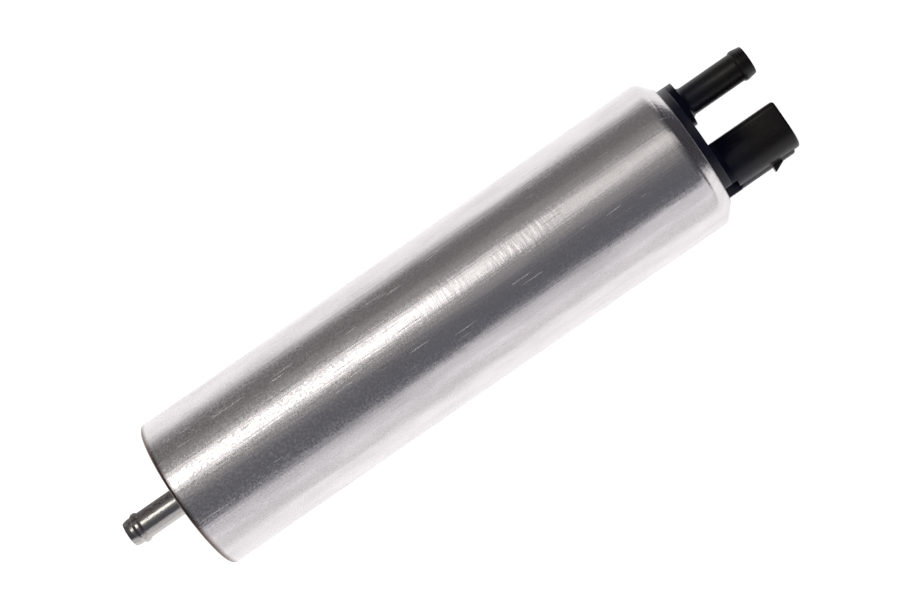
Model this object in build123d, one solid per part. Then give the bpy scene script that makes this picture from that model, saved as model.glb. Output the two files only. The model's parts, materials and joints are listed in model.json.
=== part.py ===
"""Electric in-line fuel lift pump in a crimped aluminium can.

The pump's axis lies along +X, from the metal inlet nipple to the black outlet cap. The origin is on that
axis, half way along the can. +Y points to the outlet spigot and -Y to the plug socket, and +Z is up when
the pump lies on its side. From inlet to outlet the can holds a disc spring, a strainer, a gerotor pump
section with a relief valve, a two-pole motor, a brush carrier and a cap with a check valve.
Sizes are in millimetres.
"""

import os
from math import cos, degrees, hypot, pi, radians, sin, tan

from build123d import *

# The can: a deep-drawn cup whose edge is bent in over the cap
CAN_DIAMETER = 43.0
CAN_WALL = 1.2
CAN_BOTTOM = 1.6
CAN_CORNER = 1.0
CRIMP_WIDTH = 4.9
CRIMP_ANGLE = 50.0
CRIMP_BEND = 3.0
CAN_EDGE_ROUNDING = 0.4

# The stack of pieces that the crimp clamps, from the can's bottom to the cap
DISC_SPRING_HEIGHT = 2.4
STRAINER_HEIGHT = 3.0
COVER_SKIRT = 5.0
COVER_THICKNESS = 12.0
ROTOR_CHAMBER = 10.0
PLATE_THICKNESS = 8.0
YOKE_LENGTH = 72.0
CARRIER_LENGTH = 24.0
CAP_PLUG = 18.8

# Clearances
STACK_CLEARANCE = 0.1
RUNNING_CLEARANCE = 0.03
ROTOR_SIDE_CLEARANCE = 0.05
ROTOR_TIP_CLEARANCE = 0.08
FILM_GAP = 0.1
MAGNET_AIR_GAP = 0.5
SLIDING_GAP = 0.15
SEAL_CLEARANCE = 0.02
END_FLOAT = 0.3

# The inlet nipple, a beaded steel tube
NIPPLE_DIAMETER = 7.5
NIPPLE_BORE = 5.9
NIPPLE_REACH = 18.3
NIPPLE_BEAD_DIAMETER = 8.5
NIPPLE_BEAD_WIDTH = 2.4
NIPPLE_BEAD_SETBACK = 3.4
NIPPLE_TIP_DIAMETER = 6.9
NIPPLE_TIP_TAPER = 1.4
NIPPLE_FLANGE_DIAMETER = 18.0
NIPPLE_FLANGE_THICKNESS = 2.4
NIPPLE_SEAL_DIAMETER = 12.0
NIPPLE_SEAL_WIRE = 1.6

# The disc spring and the strainer
DISC_SPRING_PLATE = 0.6
DISC_SPRING_BORE = 26.0
STRAINER_RIM = 2.6
SCREEN_THICKNESS = 0.5
SCREEN_HOLE = 1.9
SCREEN_PITCH = 3.2

# The gerotor pair
INNER_TEETH = 6
TROCHOID_RATIO = 1.2262
TOOTH_ARC_RADIUS = 3.2
OUTER_ROTOR_RIM = 1.7
PUMP_RING_WALL = 8.2
KIDNEY_WIDTH = 2.8
KIDNEY_SPAN = 110.0

# Pump section screws and the O-rings of the pump section and the cap
SCREW_DIAMETER = 3.0
SCREW_HOLE = 3.3
SCREW_FROM_EDGE = 4.6
SCREW_HEAD_DIAMETER = 5.5
SCREW_HEAD_HEIGHT = 2.5
SCREW_HEAD_CLEARANCE = 0.25
SCREW_THREAD_DEPTH = 6.0
SCREW_SOCKET = 2.5
SCREW_SOCKET_DEPTH = 1.3
SCREWS = 4
SEAL_GROOVE_DEPTH = 2.1
SEAL_GROOVE_WIDTH = 3.0
SEAL_FROM_COVER_FACE = 6.0
SEAL_FROM_CAP_END = 5.0

# The relief valve in the pump cover
RELIEF_FROM_EDGE = 6.0
RELIEF_BORE = 6.2
RELIEF_PORT = 3.2
RELIEF_BALL = 5.0
RELIEF_PLUG_LENGTH = 3.5
RELIEF_PLUG_HOLE = 2.0
RELIEF_SPRING_MEAN = 4.0
RELIEF_SPRING_WIRE = 0.6
RELIEF_SPRING_TURNS = 3

# Shaft and bearings
SHAFT_DIAMETER = 5.0
SHAFT_FLAT = 1.9
SHAFT_PILOT_DEPTH = 3.0
SHAFT_TAIL = 1.2
BUSH_WALL = 1.7
FRONT_BOSS_WALL = 1.2
FRONT_BOSS_HEIGHT = 3.0
REAR_BUSH_LENGTH = 7.5
REAR_BUSH_FROM_CAP = 3.2

# Motor
YOKE_WALL = 2.1
MAGNET_THICKNESS = 4.2
MAGNET_SPAN = 148.0
MAGNET_FROM_YOKE_ENDS = 8.0
MAGNET_SEAT_GAP = 0.1
CLIP_PLATE = 0.6
CLIP_CLEARANCE = 0.15
CORE_FROM_MAGNET_ENDS = 3.0
CORE_SLOTS = 8
CORE_TOOTH_NECK = 3.2
CORE_TIP_THICKNESS = 1.4
CORE_SLOT_MOUTH = 1.6
CORE_HUB_DIAMETER = 11.0
INSULATOR_THICKNESS = 1.0
END_TURN_LENGTH = 6.0
END_TURN_ROUNDING = 2.0
WIRE_CLEARANCE = 0.35
SLEEVE_DIAMETER = 8.0

# Disc commutator
COMMUTATOR_DIAMETER = 24.8
COMMUTATOR_BORE = 10.0
SEGMENT_THICKNESS = 3.0
SEGMENT_SLOT = 0.6
HUB_THICKNESS = 3.5
COMMUTATOR_TO_CARRIER = 0.5
TANG_WIDTH = 1.8
TANG_REACH = 0.7
TANG_THICKNESS = 1.0

# Brushes and their springs
BRUSH_OFFSET = 9.2
BRUSH_WIDTH = 5.0
BRUSH_LENGTH = 10.5
BRUSH_TUBE_WALL = 1.3
BRUSH_SPRING_MEAN = 3.6
BRUSH_SPRING_WIRE = 0.5
BRUSH_SPRING_TURNS = 6
LEAD_DIAMETER = 1.0
LEAD_BEND = 1.8
LEAD_RISE = 1.6

# Brush carrier
CARRIER_WALL = 1.8
CARRIER_WEB = 3.0
CARRIER_HUB_WALL = 1.6
FLOW_HOLE_DIAMETER = 6.0
FLOW_HOLE_OFFSET = 12.0

# Suppression chokes
CHOKE_FROM_BLADES = 2.1
CHOKE_Z = 5.2
CHOKE_ROD = 3.4
CHOKE_ROD_LENGTH = 17.0
CHOKE_WIRE = 0.8
CHOKE_TURNS = 10
CHOKE_PITCH = 1.25
CHOKE_WIRE_GAP = 0.15
CHOKE_WIRE_FROM_SKIRT = 0.32
CHOKE_END_Z = 1.9
CHOKE_BEND = 0.9

# Outlet cap
CAP_BASE_HEIGHT = 2.2
CAP_FLOOR_THICKNESS = 7.8
CAP_SKIRT_WALL = 4.0
CAP_EDGE_ROUNDING = 0.35
CRIMP_GAP = 0.05
PAD_HEIGHT = 4.3
PAD_DIAMETER = 12.8
PAD_FROM_OPENING = 0.1

# Outlet spigot
SPIGOT_DIAMETER = 8.0
SPIGOT_BORE = 5.9
SPIGOT_REACH = 24.3
SPIGOT_ROOT_FILLET = 1.5
BARB_DIAMETER = 8.8
BARB_LENGTH = 3.9
BARB_BACK = 0.6
BARB_LAND = 0.7
BARB_TIP_DIAMETER = 7.9
BARB_TIP_ROUNDING = 0.45

# Check valve in the root of the spigot
VALVE_BORE = 8.4
VALVE_WALL = 1.1
VALVE_DEPTH = 9.0
VALVE_SEAT_THICKNESS = 2.5
VALVE_SEAT_BORE = 4.4
POPPET_DIAMETER = 6.2
POPPET_THICKNESS = 1.4
POPPET_NOSE = 1.2
POPPET_FIN_LENGTH = 3.2
POPPET_FIN_WIDTH = 1.0
POPPET_FINS = 4
VALVE_SPRING_MEAN = 4.8
VALVE_SPRING_WIRE = 0.5
VALVE_SPRING_TURNS = 6

# Plug socket
SOCKET_FROM_OPENING = 0.95
SOCKET_HEIGHT = 13.5
SOCKET_WIDTH = 14.4
SOCKET_CORNER = 1.5
SOCKET_ROUND = 6.4
SOCKET_REACH = 22.7
SOCKET_WALL = 1.3
SOCKET_DEPTH = 17.6
SOCKET_MOUTH_ROUNDING = 0.8
FOOT_HEIGHT = 4.1
FOOT_MARGIN = 0.55
FOOT_END_FROM_EDGE = 2.9
FOOT_BLOCK_WIDTH = 6.0
RAIL_RADIUS = 3.2
RAIL_HEIGHT = 0.8
RAIL_SETBACK = 1.8
LATCH_HEIGHT = 1.3
LATCH_LENGTH = 2.85
LATCH_SETBACK = 6.0
LATCH_WIDTH = 3.6

# Blade terminals
BLADE_WIDTH = 2.8
BLADE_THICKNESS = 0.8
BLADE_PITCH = 5.6
BLADE_TIP_SETBACK = 6.2
BLADE_TIP_CHAMFER = 0.7
BLADE_TAIL = 7.5
BLADE_FOOT_REACH = 5.85

# Radii that several pieces share
CAN_R = CAN_DIAMETER / 2
CAN_BORE_R = CAN_R - CAN_WALL
STACK_R = CAN_BORE_R - STACK_CLEARANCE
OPENING_R = CAN_R - CRIMP_WIDTH
CRIMP_TIP_R = OPENING_R + CAN_WALL * cos(radians(CRIMP_ANGLE))
SHAFT_R = SHAFT_DIAMETER / 2
SHAFT_BORE_R = SHAFT_R + RUNNING_CLEARANCE
BUSH_R = SHAFT_BORE_R + BUSH_WALL
SLEEVE_R = SLEEVE_DIAMETER / 2
YOKE_BORE_R = STACK_R - YOKE_WALL
MAGNET_R = YOKE_BORE_R - MAGNET_SEAT_GAP
MAGNET_BORE_R = MAGNET_R - MAGNET_THICKNESS
CORE_R = MAGNET_BORE_R - MAGNET_AIR_GAP
SEAL_GROOVE_R = STACK_R - SEAL_GROOVE_DEPTH
SEAL_WIRE_R = (CAN_BORE_R - SEAL_GROOVE_R) / 2 - SEAL_CLEARANCE
SEAL_CENTRE_R = (CAN_BORE_R + SEAL_GROOVE_R) / 2
SCREW_CIRCLE_R = STACK_R - SCREW_FROM_EDGE
OUTER_ROTOR_R = STACK_R - PUMP_RING_WALL
TOOTH_PITCH_RADIUS = OUTER_ROTOR_R - OUTER_ROTOR_RIM
ECCENTRICITY = TOOTH_PITCH_RADIUS / (INNER_TEETH + 1) / TROCHOID_RATIO
KIDNEY_RADIUS = TOOTH_PITCH_RADIUS - TOOTH_ARC_RADIUS

# How far pieces stand from the axis
RELIEF_OFFSET = STACK_R - RELIEF_FROM_EDGE
SPIGOT_OFFSET = OPENING_R - PAD_FROM_OPENING - PAD_DIAMETER / 2
SOCKET_OFFSET = OPENING_R - SOCKET_FROM_OPENING - SOCKET_HEIGHT / 2
CHOKE_Y = SOCKET_OFFSET + CHOKE_FROM_BLADES

# Places along the axis: each piece starts where the one before it ends
CAN_LENGTH = (
    CAN_BOTTOM
    + DISC_SPRING_HEIGHT
    + STRAINER_HEIGHT
    + COVER_SKIRT
    + COVER_THICKNESS
    + ROTOR_CHAMBER
    + PLATE_THICKNESS
    + YOKE_LENGTH
    + CARRIER_LENGTH
    + CAP_PLUG
    + CAN_WALL
)
X_BOTTOM = -CAN_LENGTH / 2
X_FLOOR = X_BOTTOM + CAN_BOTTOM
X_STRAINER = X_FLOOR + DISC_SPRING_HEIGHT
X_SKIRT = X_STRAINER + STRAINER_HEIGHT
X_COVER = X_SKIRT + COVER_SKIRT
X_ROTOR = X_COVER + COVER_THICKNESS
X_PLATE = X_ROTOR + ROTOR_CHAMBER
X_YOKE = X_PLATE + PLATE_THICKNESS
X_CARRIER = X_YOKE + YOKE_LENGTH
X_CAP = X_CARRIER + CARRIER_LENGTH
X_LIP = X_CAP + CAP_PLUG
X_RIM = X_LIP + CAN_WALL
X_BASE = X_RIM + CAP_BASE_HEIGHT
X_CAP_FLOOR = X_LIP - CAP_FLOOR_THICKNESS

# Places in the motor
X_MAGNET = X_YOKE + MAGNET_FROM_YOKE_ENDS
X_MAGNET_END = X_CARRIER - MAGNET_FROM_YOKE_ENDS - COMMUTATOR_TO_CARRIER - HUB_THICKNESS
X_CORE = X_MAGNET + CORE_FROM_MAGNET_ENDS
X_CORE_END = X_MAGNET_END - CORE_FROM_MAGNET_ENDS
X_TURNS = X_CORE - INSULATOR_THICKNESS - END_TURN_LENGTH
X_TURNS_END = X_CORE_END + INSULATOR_THICKNESS + END_TURN_LENGTH
X_FACE = X_CARRIER - COMMUTATOR_TO_CARRIER
X_SEGMENT = X_FACE - SEGMENT_THICKNESS
X_HUB = X_SEGMENT - HUB_THICKNESS
X_BRUSH = X_FACE + FILM_GAP
X_BRUSH_BACK = X_BRUSH + BRUSH_LENGTH
X_WEB = X_CAP - CARRIER_WEB
X_REAR_BUSH_END = X_CAP - REAR_BUSH_FROM_CAP
X_REAR_BUSH = X_REAR_BUSH_END - REAR_BUSH_LENGTH
X_SHAFT_END = X_REAR_BUSH_END + SHAFT_TAIL
X_FRONT_BOSS = X_YOKE + FRONT_BOSS_HEIGHT

# Places in the cap
X_SPIGOT_TIP = X_RIM + SPIGOT_REACH
X_SOCKET_MOUTH = X_RIM + SOCKET_REACH
X_SOCKET_FLOOR = X_SOCKET_MOUTH - SOCKET_DEPTH
X_FOOT = X_RIM + FOOT_HEIGHT
X_PAD = X_RIM + PAD_HEIGHT
X_VALVE = X_CAP_FLOOR - VALVE_DEPTH
X_VALVE_STEP = X_LIP
X_BLADE_FOOT = X_CAP_FLOOR - BLADE_TAIL
SOCKET_OUTER_Y = -SOCKET_OFFSET - SOCKET_HEIGHT / 2
FOOT_END_Y = FOOT_END_FROM_EDGE - OPENING_R

CUT_EXTRA = 1.0


def across(x):
    """The plane square to the pump's axis at x. Its own x and y are the part's Y and Z."""
    return Plane(origin=(x, 0, 0), x_dir=(0, 1, 0), z_dir=(1, 0, 0))


def rod(x0, x1, diameter, y=0.0, z=0.0):
    """A round bar along the axis from x0 to x1."""
    return extrude(across(x0) * Pos(y, z) * Circle(diameter / 2), amount=x1 - x0)


def tube(x0, x1, outer_r, inner_r, y=0.0, z=0.0):
    """A round tube along the axis from x0 to x1."""
    section = Circle(outer_r) - Circle(inner_r)
    return extrude(across(x0) * Pos(y, z) * section, amount=x1 - x0)


def bar(x0, x1, section):
    """A section drawn in Y and Z, carried from x0 to x1."""
    return extrude(across(x0) * section, amount=x1 - x0)


def turned(corners):
    """A solid of revolution about the axis. A corner is (x, radius) or (x, radius, rounding)."""
    points = [(corner[0], corner[1]) for corner in corners]
    roundings = [corner[2] if len(corner) > 2 else 0 for corner in corners]
    outline = FilletPolyline(*points, radius=roundings, close=True)
    return revolve(make_face(outline), axis=Axis.X)


def round_section_ring(x, centre_r, wire_r):
    """A ring of round section about the axis, such as an O-ring."""
    return revolve(Pos(x, centre_r) * Circle(wire_r), axis=Axis.X)


def around(count, first_angle=0.0):
    """The angles of count equal steps about the axis, in degrees from +Y towards +Z."""
    return [first_angle + 360.0 * i / count for i in range(count)]


def on_circle(radius, angle):
    """The point (y, z) at that radius and angle."""
    return radius * cos(radians(angle)), radius * sin(radians(angle))


def sector(outer_r, inner_r, mid_angle, span):
    """A ring sector in Y and Z."""
    ends = [mid_angle - span / 2, mid_angle + span / 2]
    far = [Vector(*on_circle(outer_r, a)) for a in (ends[0], mid_angle, ends[1])]
    near = [Vector(*on_circle(inner_r, a)) for a in (ends[0], mid_angle, ends[1])]
    edges = [
        ThreePointArc(*far),
        Line(far[2], near[2]),
        ThreePointArc(*near[::-1]),
        Line(near[0], far[0]),
    ]
    return make_face(edges)


def kidney(radius, width, mid_angle, span):
    """A curved slot with round ends in Y and Z."""
    slot = sector(radius + width / 2, radius - width / 2, mid_angle, span)
    for angle in (mid_angle - span / 2, mid_angle + span / 2):
        slot += Pos(*on_circle(radius, angle)) * Circle(width / 2)
    return slot


def biarc(start, start_way, end, end_way):
    """Two arcs that leave start along start_way, meet smoothly and reach end along end_way."""
    chord = end - start
    ways = start_way + end_way
    spread = 2 * (1 - start_way.dot(end_way))
    if spread < 1e-9:
        return [Edge.make_line(start, end)]
    half = chord.dot(ways)
    reach = (-half + (half * half + spread * chord.dot(chord)) ** 0.5) / spread
    middle = (start + end + (start_way - end_way) * reach) * 0.5
    first = Edge.make_tangent_arc(start, start_way, middle)
    return [first, Edge.make_tangent_arc(middle, first % 1, end)]


def coil_edges(x0, pitch, turns, mean_r, y, z, first_angle, first_way=None, last_way=None):
    """A helix about an axis along X, as a biarc for each quarter turn."""
    climb = pitch / (2 * pi)

    def point(angle):
        side, up = on_circle(mean_r, first_angle + angle)
        return Vector(x0 + climb * radians(angle), y + side, z + up)

    def way(angle):
        side, up = on_circle(mean_r, first_angle + angle + 90)
        return Vector(climb, side, up).normalized()

    steps = [90.0 * i for i in range(int(4 * turns) + 1)]
    ways = [way(a) for a in steps]
    ways[0] = first_way or ways[0]
    ways[-1] = last_way or ways[-1]
    edges = []
    for i in range(len(steps) - 1):
        edges += biarc(point(steps[i]), ways[i], point(steps[i + 1]), ways[i + 1])
    return edges


def swept_wire(edges, diameter):
    """A round wire along edges that meet smoothly."""
    start = Plane(origin=edges[0] @ 0, z_dir=edges[0] % 0)
    return sweep(start * Circle(diameter / 2), path=Wire(edges))


def spring(x0, x1, mean_diameter, wire, turns, y, z):
    """A coil spring that just reaches from x0 to x1, and prints the gap between its turns."""
    pitch = (x1 - x0 - wire) / turns
    print(f"spring of {turns} turns: gap between turns {pitch - wire:.2f} mm")
    return swept_wire(coil_edges(x0 + wire / 2, pitch, turns, mean_diameter / 2, y, z, 0.0), wire)


def crimp_x(radius, inset=0.0):
    """Where the can's bent-in edge, or a face that far inside it, has that radius."""
    angle = radians(CRIMP_ANGLE)
    return X_RIM - (radius - CRIMP_TIP_R) / tan(angle) - inset / sin(angle)


def make_can():
    """A deep-drawn cup whose open end is bent in over the cap as a cone."""
    nipple_hole = NIPPLE_DIAMETER / 2 + STACK_CLEARANCE
    return turned(
        [
            (X_BOTTOM, nipple_hole),
            (X_BOTTOM, CAN_R, CAN_CORNER),
            (crimp_x(CAN_R), CAN_R, CRIMP_BEND),
            (X_RIM, CRIMP_TIP_R, CAN_EDGE_ROUNDING),
            (crimp_x(OPENING_R, CAN_WALL), OPENING_R, CAN_EDGE_ROUNDING),
            (crimp_x(CAN_BORE_R, CAN_WALL), CAN_BORE_R, CRIMP_BEND - CAN_WALL),
            (X_FLOOR, CAN_BORE_R),
            (X_FLOOR, nipple_hole),
        ]
    )


def make_inlet_nipple():
    """A steel tube with a rolled hose bead, and a flange that seals against the can's bottom."""
    x_tip = X_BOTTOM - NIPPLE_REACH
    bead = x_tip + NIPPLE_BEAD_SETBACK
    tube_r = NIPPLE_DIAMETER / 2
    bead_r = NIPPLE_BEAD_DIAMETER / 2
    half = NIPPLE_BEAD_WIDTH / 2
    land = half / 3
    flange_end = X_FLOOR + NIPPLE_FLANGE_THICKNESS
    nipple = turned(
        [
            (x_tip, NIPPLE_BORE / 2),
            (x_tip, NIPPLE_TIP_DIAMETER / 2),
            (x_tip + NIPPLE_TIP_TAPER, tube_r),
            (bead - half, tube_r),
            (bead - land, bead_r, 0.3),
            (bead + land, bead_r, 0.3),
            (bead + half, tube_r),
            (X_FLOOR, tube_r),
            (X_FLOOR, NIPPLE_FLANGE_DIAMETER / 2),
            (flange_end, NIPPLE_FLANGE_DIAMETER / 2),
            (flange_end, NIPPLE_BORE / 2),
        ]
    )
    seal_r = NIPPLE_SEAL_DIAMETER / 2
    groove_depth = NIPPLE_SEAL_WIRE + SEAL_CLEARANCE
    groove_half = NIPPLE_SEAL_WIRE / 2 + STACK_CLEARANCE
    return nipple - tube(X_FLOOR, X_FLOOR + groove_depth, seal_r + groove_half, seal_r - groove_half)


def make_inlet_seal():
    """The O-ring in the face of the nipple's flange."""
    wire_r = NIPPLE_SEAL_WIRE / 2
    return round_section_ring(X_FLOOR + wire_r, NIPPLE_SEAL_DIAMETER / 2, wire_r)


def make_disc_spring():
    """A coned washer that presses the whole stack against the crimp."""
    outer = STACK_R - STACK_CLEARANCE
    inner = DISC_SPRING_BORE / 2
    x_high = X_STRAINER - DISC_SPRING_PLATE
    return turned(
        [
            (X_FLOOR, inner),
            (X_FLOOR + DISC_SPRING_PLATE, inner),
            (X_STRAINER, outer),
            (x_high, outer),
        ]
    )


def make_inlet_strainer():
    """A rim with a perforated screen across it."""
    rim = tube(X_STRAINER, X_SKIRT, STACK_R, STACK_R - STRAINER_RIM)
    x_screen = (X_STRAINER + X_SKIRT - SCREEN_THICKNESS) / 2
    screen_r = STACK_R - STRAINER_RIM / 2
    clear_r = STACK_R - STRAINER_RIM - SCREEN_HOLE / 2 - STACK_CLEARANCE
    reach = int(clear_r / SCREEN_PITCH)
    rows = range(-reach, reach + 1)
    places = [
        Pos(i * SCREEN_PITCH, j * SCREEN_PITCH)
        for i in rows
        for j in rows
        if hypot(i, j) * SCREEN_PITCH < clear_r
    ]
    holes = [place * Circle(SCREEN_HOLE / 2) for place in places]
    return rim + bar(x_screen, x_screen + SCREEN_THICKNESS, Circle(screen_r) - holes)


def seal_groove(x_middle):
    """The ring to cut away for an O-ring on the outside of the stack."""
    half = SEAL_GROOVE_WIDTH / 2
    return tube(x_middle - half, x_middle + half, STACK_R + CUT_EXTRA, SEAL_GROOVE_R)


def screw_places():
    """Where the pump section's screws stand."""
    return [on_circle(SCREW_CIRCLE_R, a) for a in around(SCREWS, 180 / SCREWS)]


def make_pump_cover():
    """The inlet side of the pump section: inlet port, relief valve's bore and shaft's pilot."""
    cover = bar(X_COVER, X_ROTOR, Circle(STACK_R))
    cover += tube(X_SKIRT, X_COVER, STACK_R, STACK_R - CARRIER_WALL)
    cover -= seal_groove(X_ROTOR - SEAL_FROM_COVER_FACE)
    cover -= bar(X_COVER, X_ROTOR, kidney(KIDNEY_RADIUS, KIDNEY_WIDTH, 90, KIDNEY_SPAN))
    cover -= rod(X_ROTOR - SHAFT_PILOT_DEPTH, X_ROTOR, SHAFT_DIAMETER + 2 * FILM_GAP)
    cover -= rod(X_COVER, X_ROTOR, RELIEF_BORE, y=-RELIEF_OFFSET)
    head_room = SCREW_HEAD_DIAMETER + 2 * SCREW_HEAD_CLEARANCE
    for y, z in screw_places():
        cover -= rod(X_COVER, X_ROTOR, SCREW_HOLE, y, z)
        cover -= rod(X_COVER, X_COVER + SCREW_HEAD_HEIGHT, head_room, y, z)
    return cover


def outer_seal(x_middle):
    """An O-ring in a groove on the outside of the stack."""
    return round_section_ring(x_middle, SEAL_CENTRE_R, SEAL_WIRE_R)


def relief_ball_x():
    """The relief ball's centre when it rests on the edge of its port."""
    seat_depth = (RELIEF_BALL**2 - RELIEF_PORT**2) ** 0.5 / 2
    return X_ROTOR - seat_depth - FILM_GAP


def make_relief_ball():
    """The steel ball that lets fuel back to the inlet when the pressure is too high."""
    return Pos(relief_ball_x(), -RELIEF_OFFSET, 0) * Sphere(RELIEF_BALL / 2)


def make_relief_spring():
    """The coil spring behind the relief ball."""
    ball_r = RELIEF_BALL / 2
    ring_r = (RELIEF_SPRING_MEAN - RELIEF_SPRING_WIRE) / 2
    x_on_ball = relief_ball_x() - (ball_r**2 - ring_r**2) ** 0.5 - FILM_GAP
    return spring(
        X_COVER + RELIEF_PLUG_LENGTH,
        x_on_ball,
        RELIEF_SPRING_MEAN,
        RELIEF_SPRING_WIRE,
        RELIEF_SPRING_TURNS,
        -RELIEF_OFFSET,
        0.0,
    )


def make_relief_plug():
    """The bored plug that sets the relief spring."""
    plug = rod(X_COVER, X_COVER + RELIEF_PLUG_LENGTH, RELIEF_BORE, y=-RELIEF_OFFSET)
    return plug - rod(X_COVER, X_COVER + RELIEF_PLUG_LENGTH, RELIEF_PLUG_HOLE, y=-RELIEF_OFFSET)


def make_pump_ring():
    """The ring that holds the outer rotor in its eccentric bore."""
    ring = bar(X_ROTOR, X_PLATE, Circle(STACK_R))
    bore_r = OUTER_ROTOR_R + ROTOR_SIDE_CLEARANCE
    ring -= rod(X_ROTOR, X_PLATE, 2 * bore_r, y=ECCENTRICITY)
    ring -= rod(X_ROTOR, X_PLATE, RELIEF_PORT, y=-RELIEF_OFFSET)
    for y, z in screw_places():
        ring -= rod(X_ROTOR, X_PLATE, SCREW_HOLE, y, z)
    return ring


def rotor_bar(section):
    """A rotor section carried across the chamber, less the side clearances."""
    return bar(X_ROTOR + ROTOR_SIDE_CLEARANCE, X_PLATE - ROTOR_SIDE_CLEARANCE, section)


def make_outer_rotor():
    """The driven gerotor ring, with one round tooth more than the inner rotor."""
    root_r = TOOTH_PITCH_RADIUS - TOOTH_ARC_RADIUS + 2 * ECCENTRICITY + ROTOR_TIP_CLEARANCE
    hollow = Circle(root_r)
    for angle in around(INNER_TEETH + 1):
        hollow -= Pos(*on_circle(TOOTH_PITCH_RADIUS, angle)) * Circle(TOOTH_ARC_RADIUS)
    section = Circle(OUTER_ROTOR_R) - hollow
    return rotor_bar(Pos(ECCENTRICITY, 0) * section)


def inner_rotor_outline():
    """The inner rotor's edge: the outer rotor's tooth centres trace an epitrochoid about the shaft,
    R(cos t, sin t) + e(cos (n+1)t, sin (n+1)t), and the edge lies one tooth radius inside it."""
    gap = TOOTH_ARC_RADIUS + ROTOR_TIP_CLEARANCE
    count = 16 * INNER_TEETH
    points = []
    for i in range(count):
        t = 2 * pi * i / count
        fast = (INNER_TEETH + 1) * t
        y = TOOTH_PITCH_RADIUS * cos(t) + ECCENTRICITY * cos(fast)
        z = TOOTH_PITCH_RADIUS * sin(t) + ECCENTRICITY * sin(fast)
        way_y = -TOOTH_PITCH_RADIUS * sin(t) - (INNER_TEETH + 1) * ECCENTRICITY * sin(fast)
        way_z = TOOTH_PITCH_RADIUS * cos(t) + (INNER_TEETH + 1) * ECCENTRICITY * cos(fast)
        speed = hypot(way_y, way_z)
        points.append((y - gap * way_z / speed, z + gap * way_y / speed))
    return Spline(*points, periodic=True)


def shaft_section(clearance=0.0):
    """The shaft's driving end: a circle with one flat."""
    radius = SHAFT_R + clearance
    return Circle(radius) & Pos(SHAFT_FLAT + clearance - radius, 0) * Rectangle(2 * radius, 2 * radius)


def make_inner_rotor():
    """The gerotor that the shaft drives by its flat."""
    return rotor_bar(make_face(inner_rotor_outline()) - shaft_section(RUNNING_CLEARANCE))


def make_outlet_plate():
    """The outlet side of the pump section, with the outlet port and the front bearing's boss."""
    plate = bar(X_PLATE, X_YOKE, Circle(STACK_R))
    plate += rod(X_YOKE, X_FRONT_BOSS, 2 * (BUSH_R + FRONT_BOSS_WALL))
    plate -= rod(X_PLATE, X_FRONT_BOSS, 2 * BUSH_R)
    plate -= bar(X_PLATE, X_YOKE, kidney(KIDNEY_RADIUS, KIDNEY_WIDTH, 270, KIDNEY_SPAN))
    plate -= rod(X_PLATE, X_YOKE, RELIEF_PORT, y=-RELIEF_OFFSET)
    for y, z in screw_places():
        plate -= rod(X_PLATE, X_PLATE + SCREW_THREAD_DEPTH + CUT_EXTRA, SCREW_DIAMETER, y, z)
    return plate


def make_pump_screws():
    """Socket-head screws that clamp the cover, ring and plate together."""
    screws = Part()
    for y, z in screw_places():
        screw = rod(X_COVER + SCREW_HEAD_HEIGHT, X_PLATE + SCREW_THREAD_DEPTH, SCREW_DIAMETER, y, z)
        screw += rod(X_COVER, X_COVER + SCREW_HEAD_HEIGHT, SCREW_HEAD_DIAMETER, y, z)
        socket = Pos(y, z) * RegularPolygon(SCREW_SOCKET / 2, 6, major_radius=False)
        screws += screw - bar(X_COVER, X_COVER + SCREW_SOCKET_DEPTH, socket)
    return screws


def make_front_bush():
    """The sintered bearing in the outlet plate."""
    return tube(X_PLATE + END_FLOAT, X_FRONT_BOSS, BUSH_R, SHAFT_BORE_R)


def make_rear_bush():
    """The sintered bearing in the brush carrier's hub."""
    return tube(X_REAR_BUSH, X_REAR_BUSH_END, BUSH_R, SHAFT_BORE_R)


def make_motor_yoke():
    """The steel flux ring round the magnets."""
    return tube(X_YOKE, X_CARRIER, STACK_R, YOKE_BORE_R)


def make_magnet(mid_angle):
    """One ferrite shell."""
    shell = sector(MAGNET_R, MAGNET_BORE_R, mid_angle, MAGNET_SPAN)
    return bar(X_MAGNET, X_MAGNET_END, shell)


def make_magnet_clips():
    """Two spring channels that push the magnets apart and hold them against the yoke."""
    gap_span = 180 - MAGNET_SPAN
    edge = degrees(CLIP_CLEARANCE / MAGNET_BORE_R)
    leg = degrees(CLIP_PLATE / MAGNET_BORE_R)
    span = gap_span - 2 * edge
    clips = Part()
    for mid in (90, 270):
        channel = sector(MAGNET_R, MAGNET_R - CLIP_PLATE, mid, span)
        for side in (-1, 1):
            leg_mid = mid + side * (span / 2 - leg / 2)
            channel += sector(MAGNET_R, MAGNET_BORE_R + CLIP_CLEARANCE, leg_mid, leg)
        clips += bar(X_MAGNET, X_MAGNET_END, channel)
    return clips


def make_shaft():
    """The steel shaft, with the flat that drives the inner rotor."""
    x_start = X_ROTOR - SHAFT_PILOT_DEPTH + END_FLOAT
    flat_end = X_PLATE
    return bar(x_start, flat_end, shaft_section()) + rod(flat_end, X_SHAFT_END, SHAFT_DIAMETER)


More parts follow.
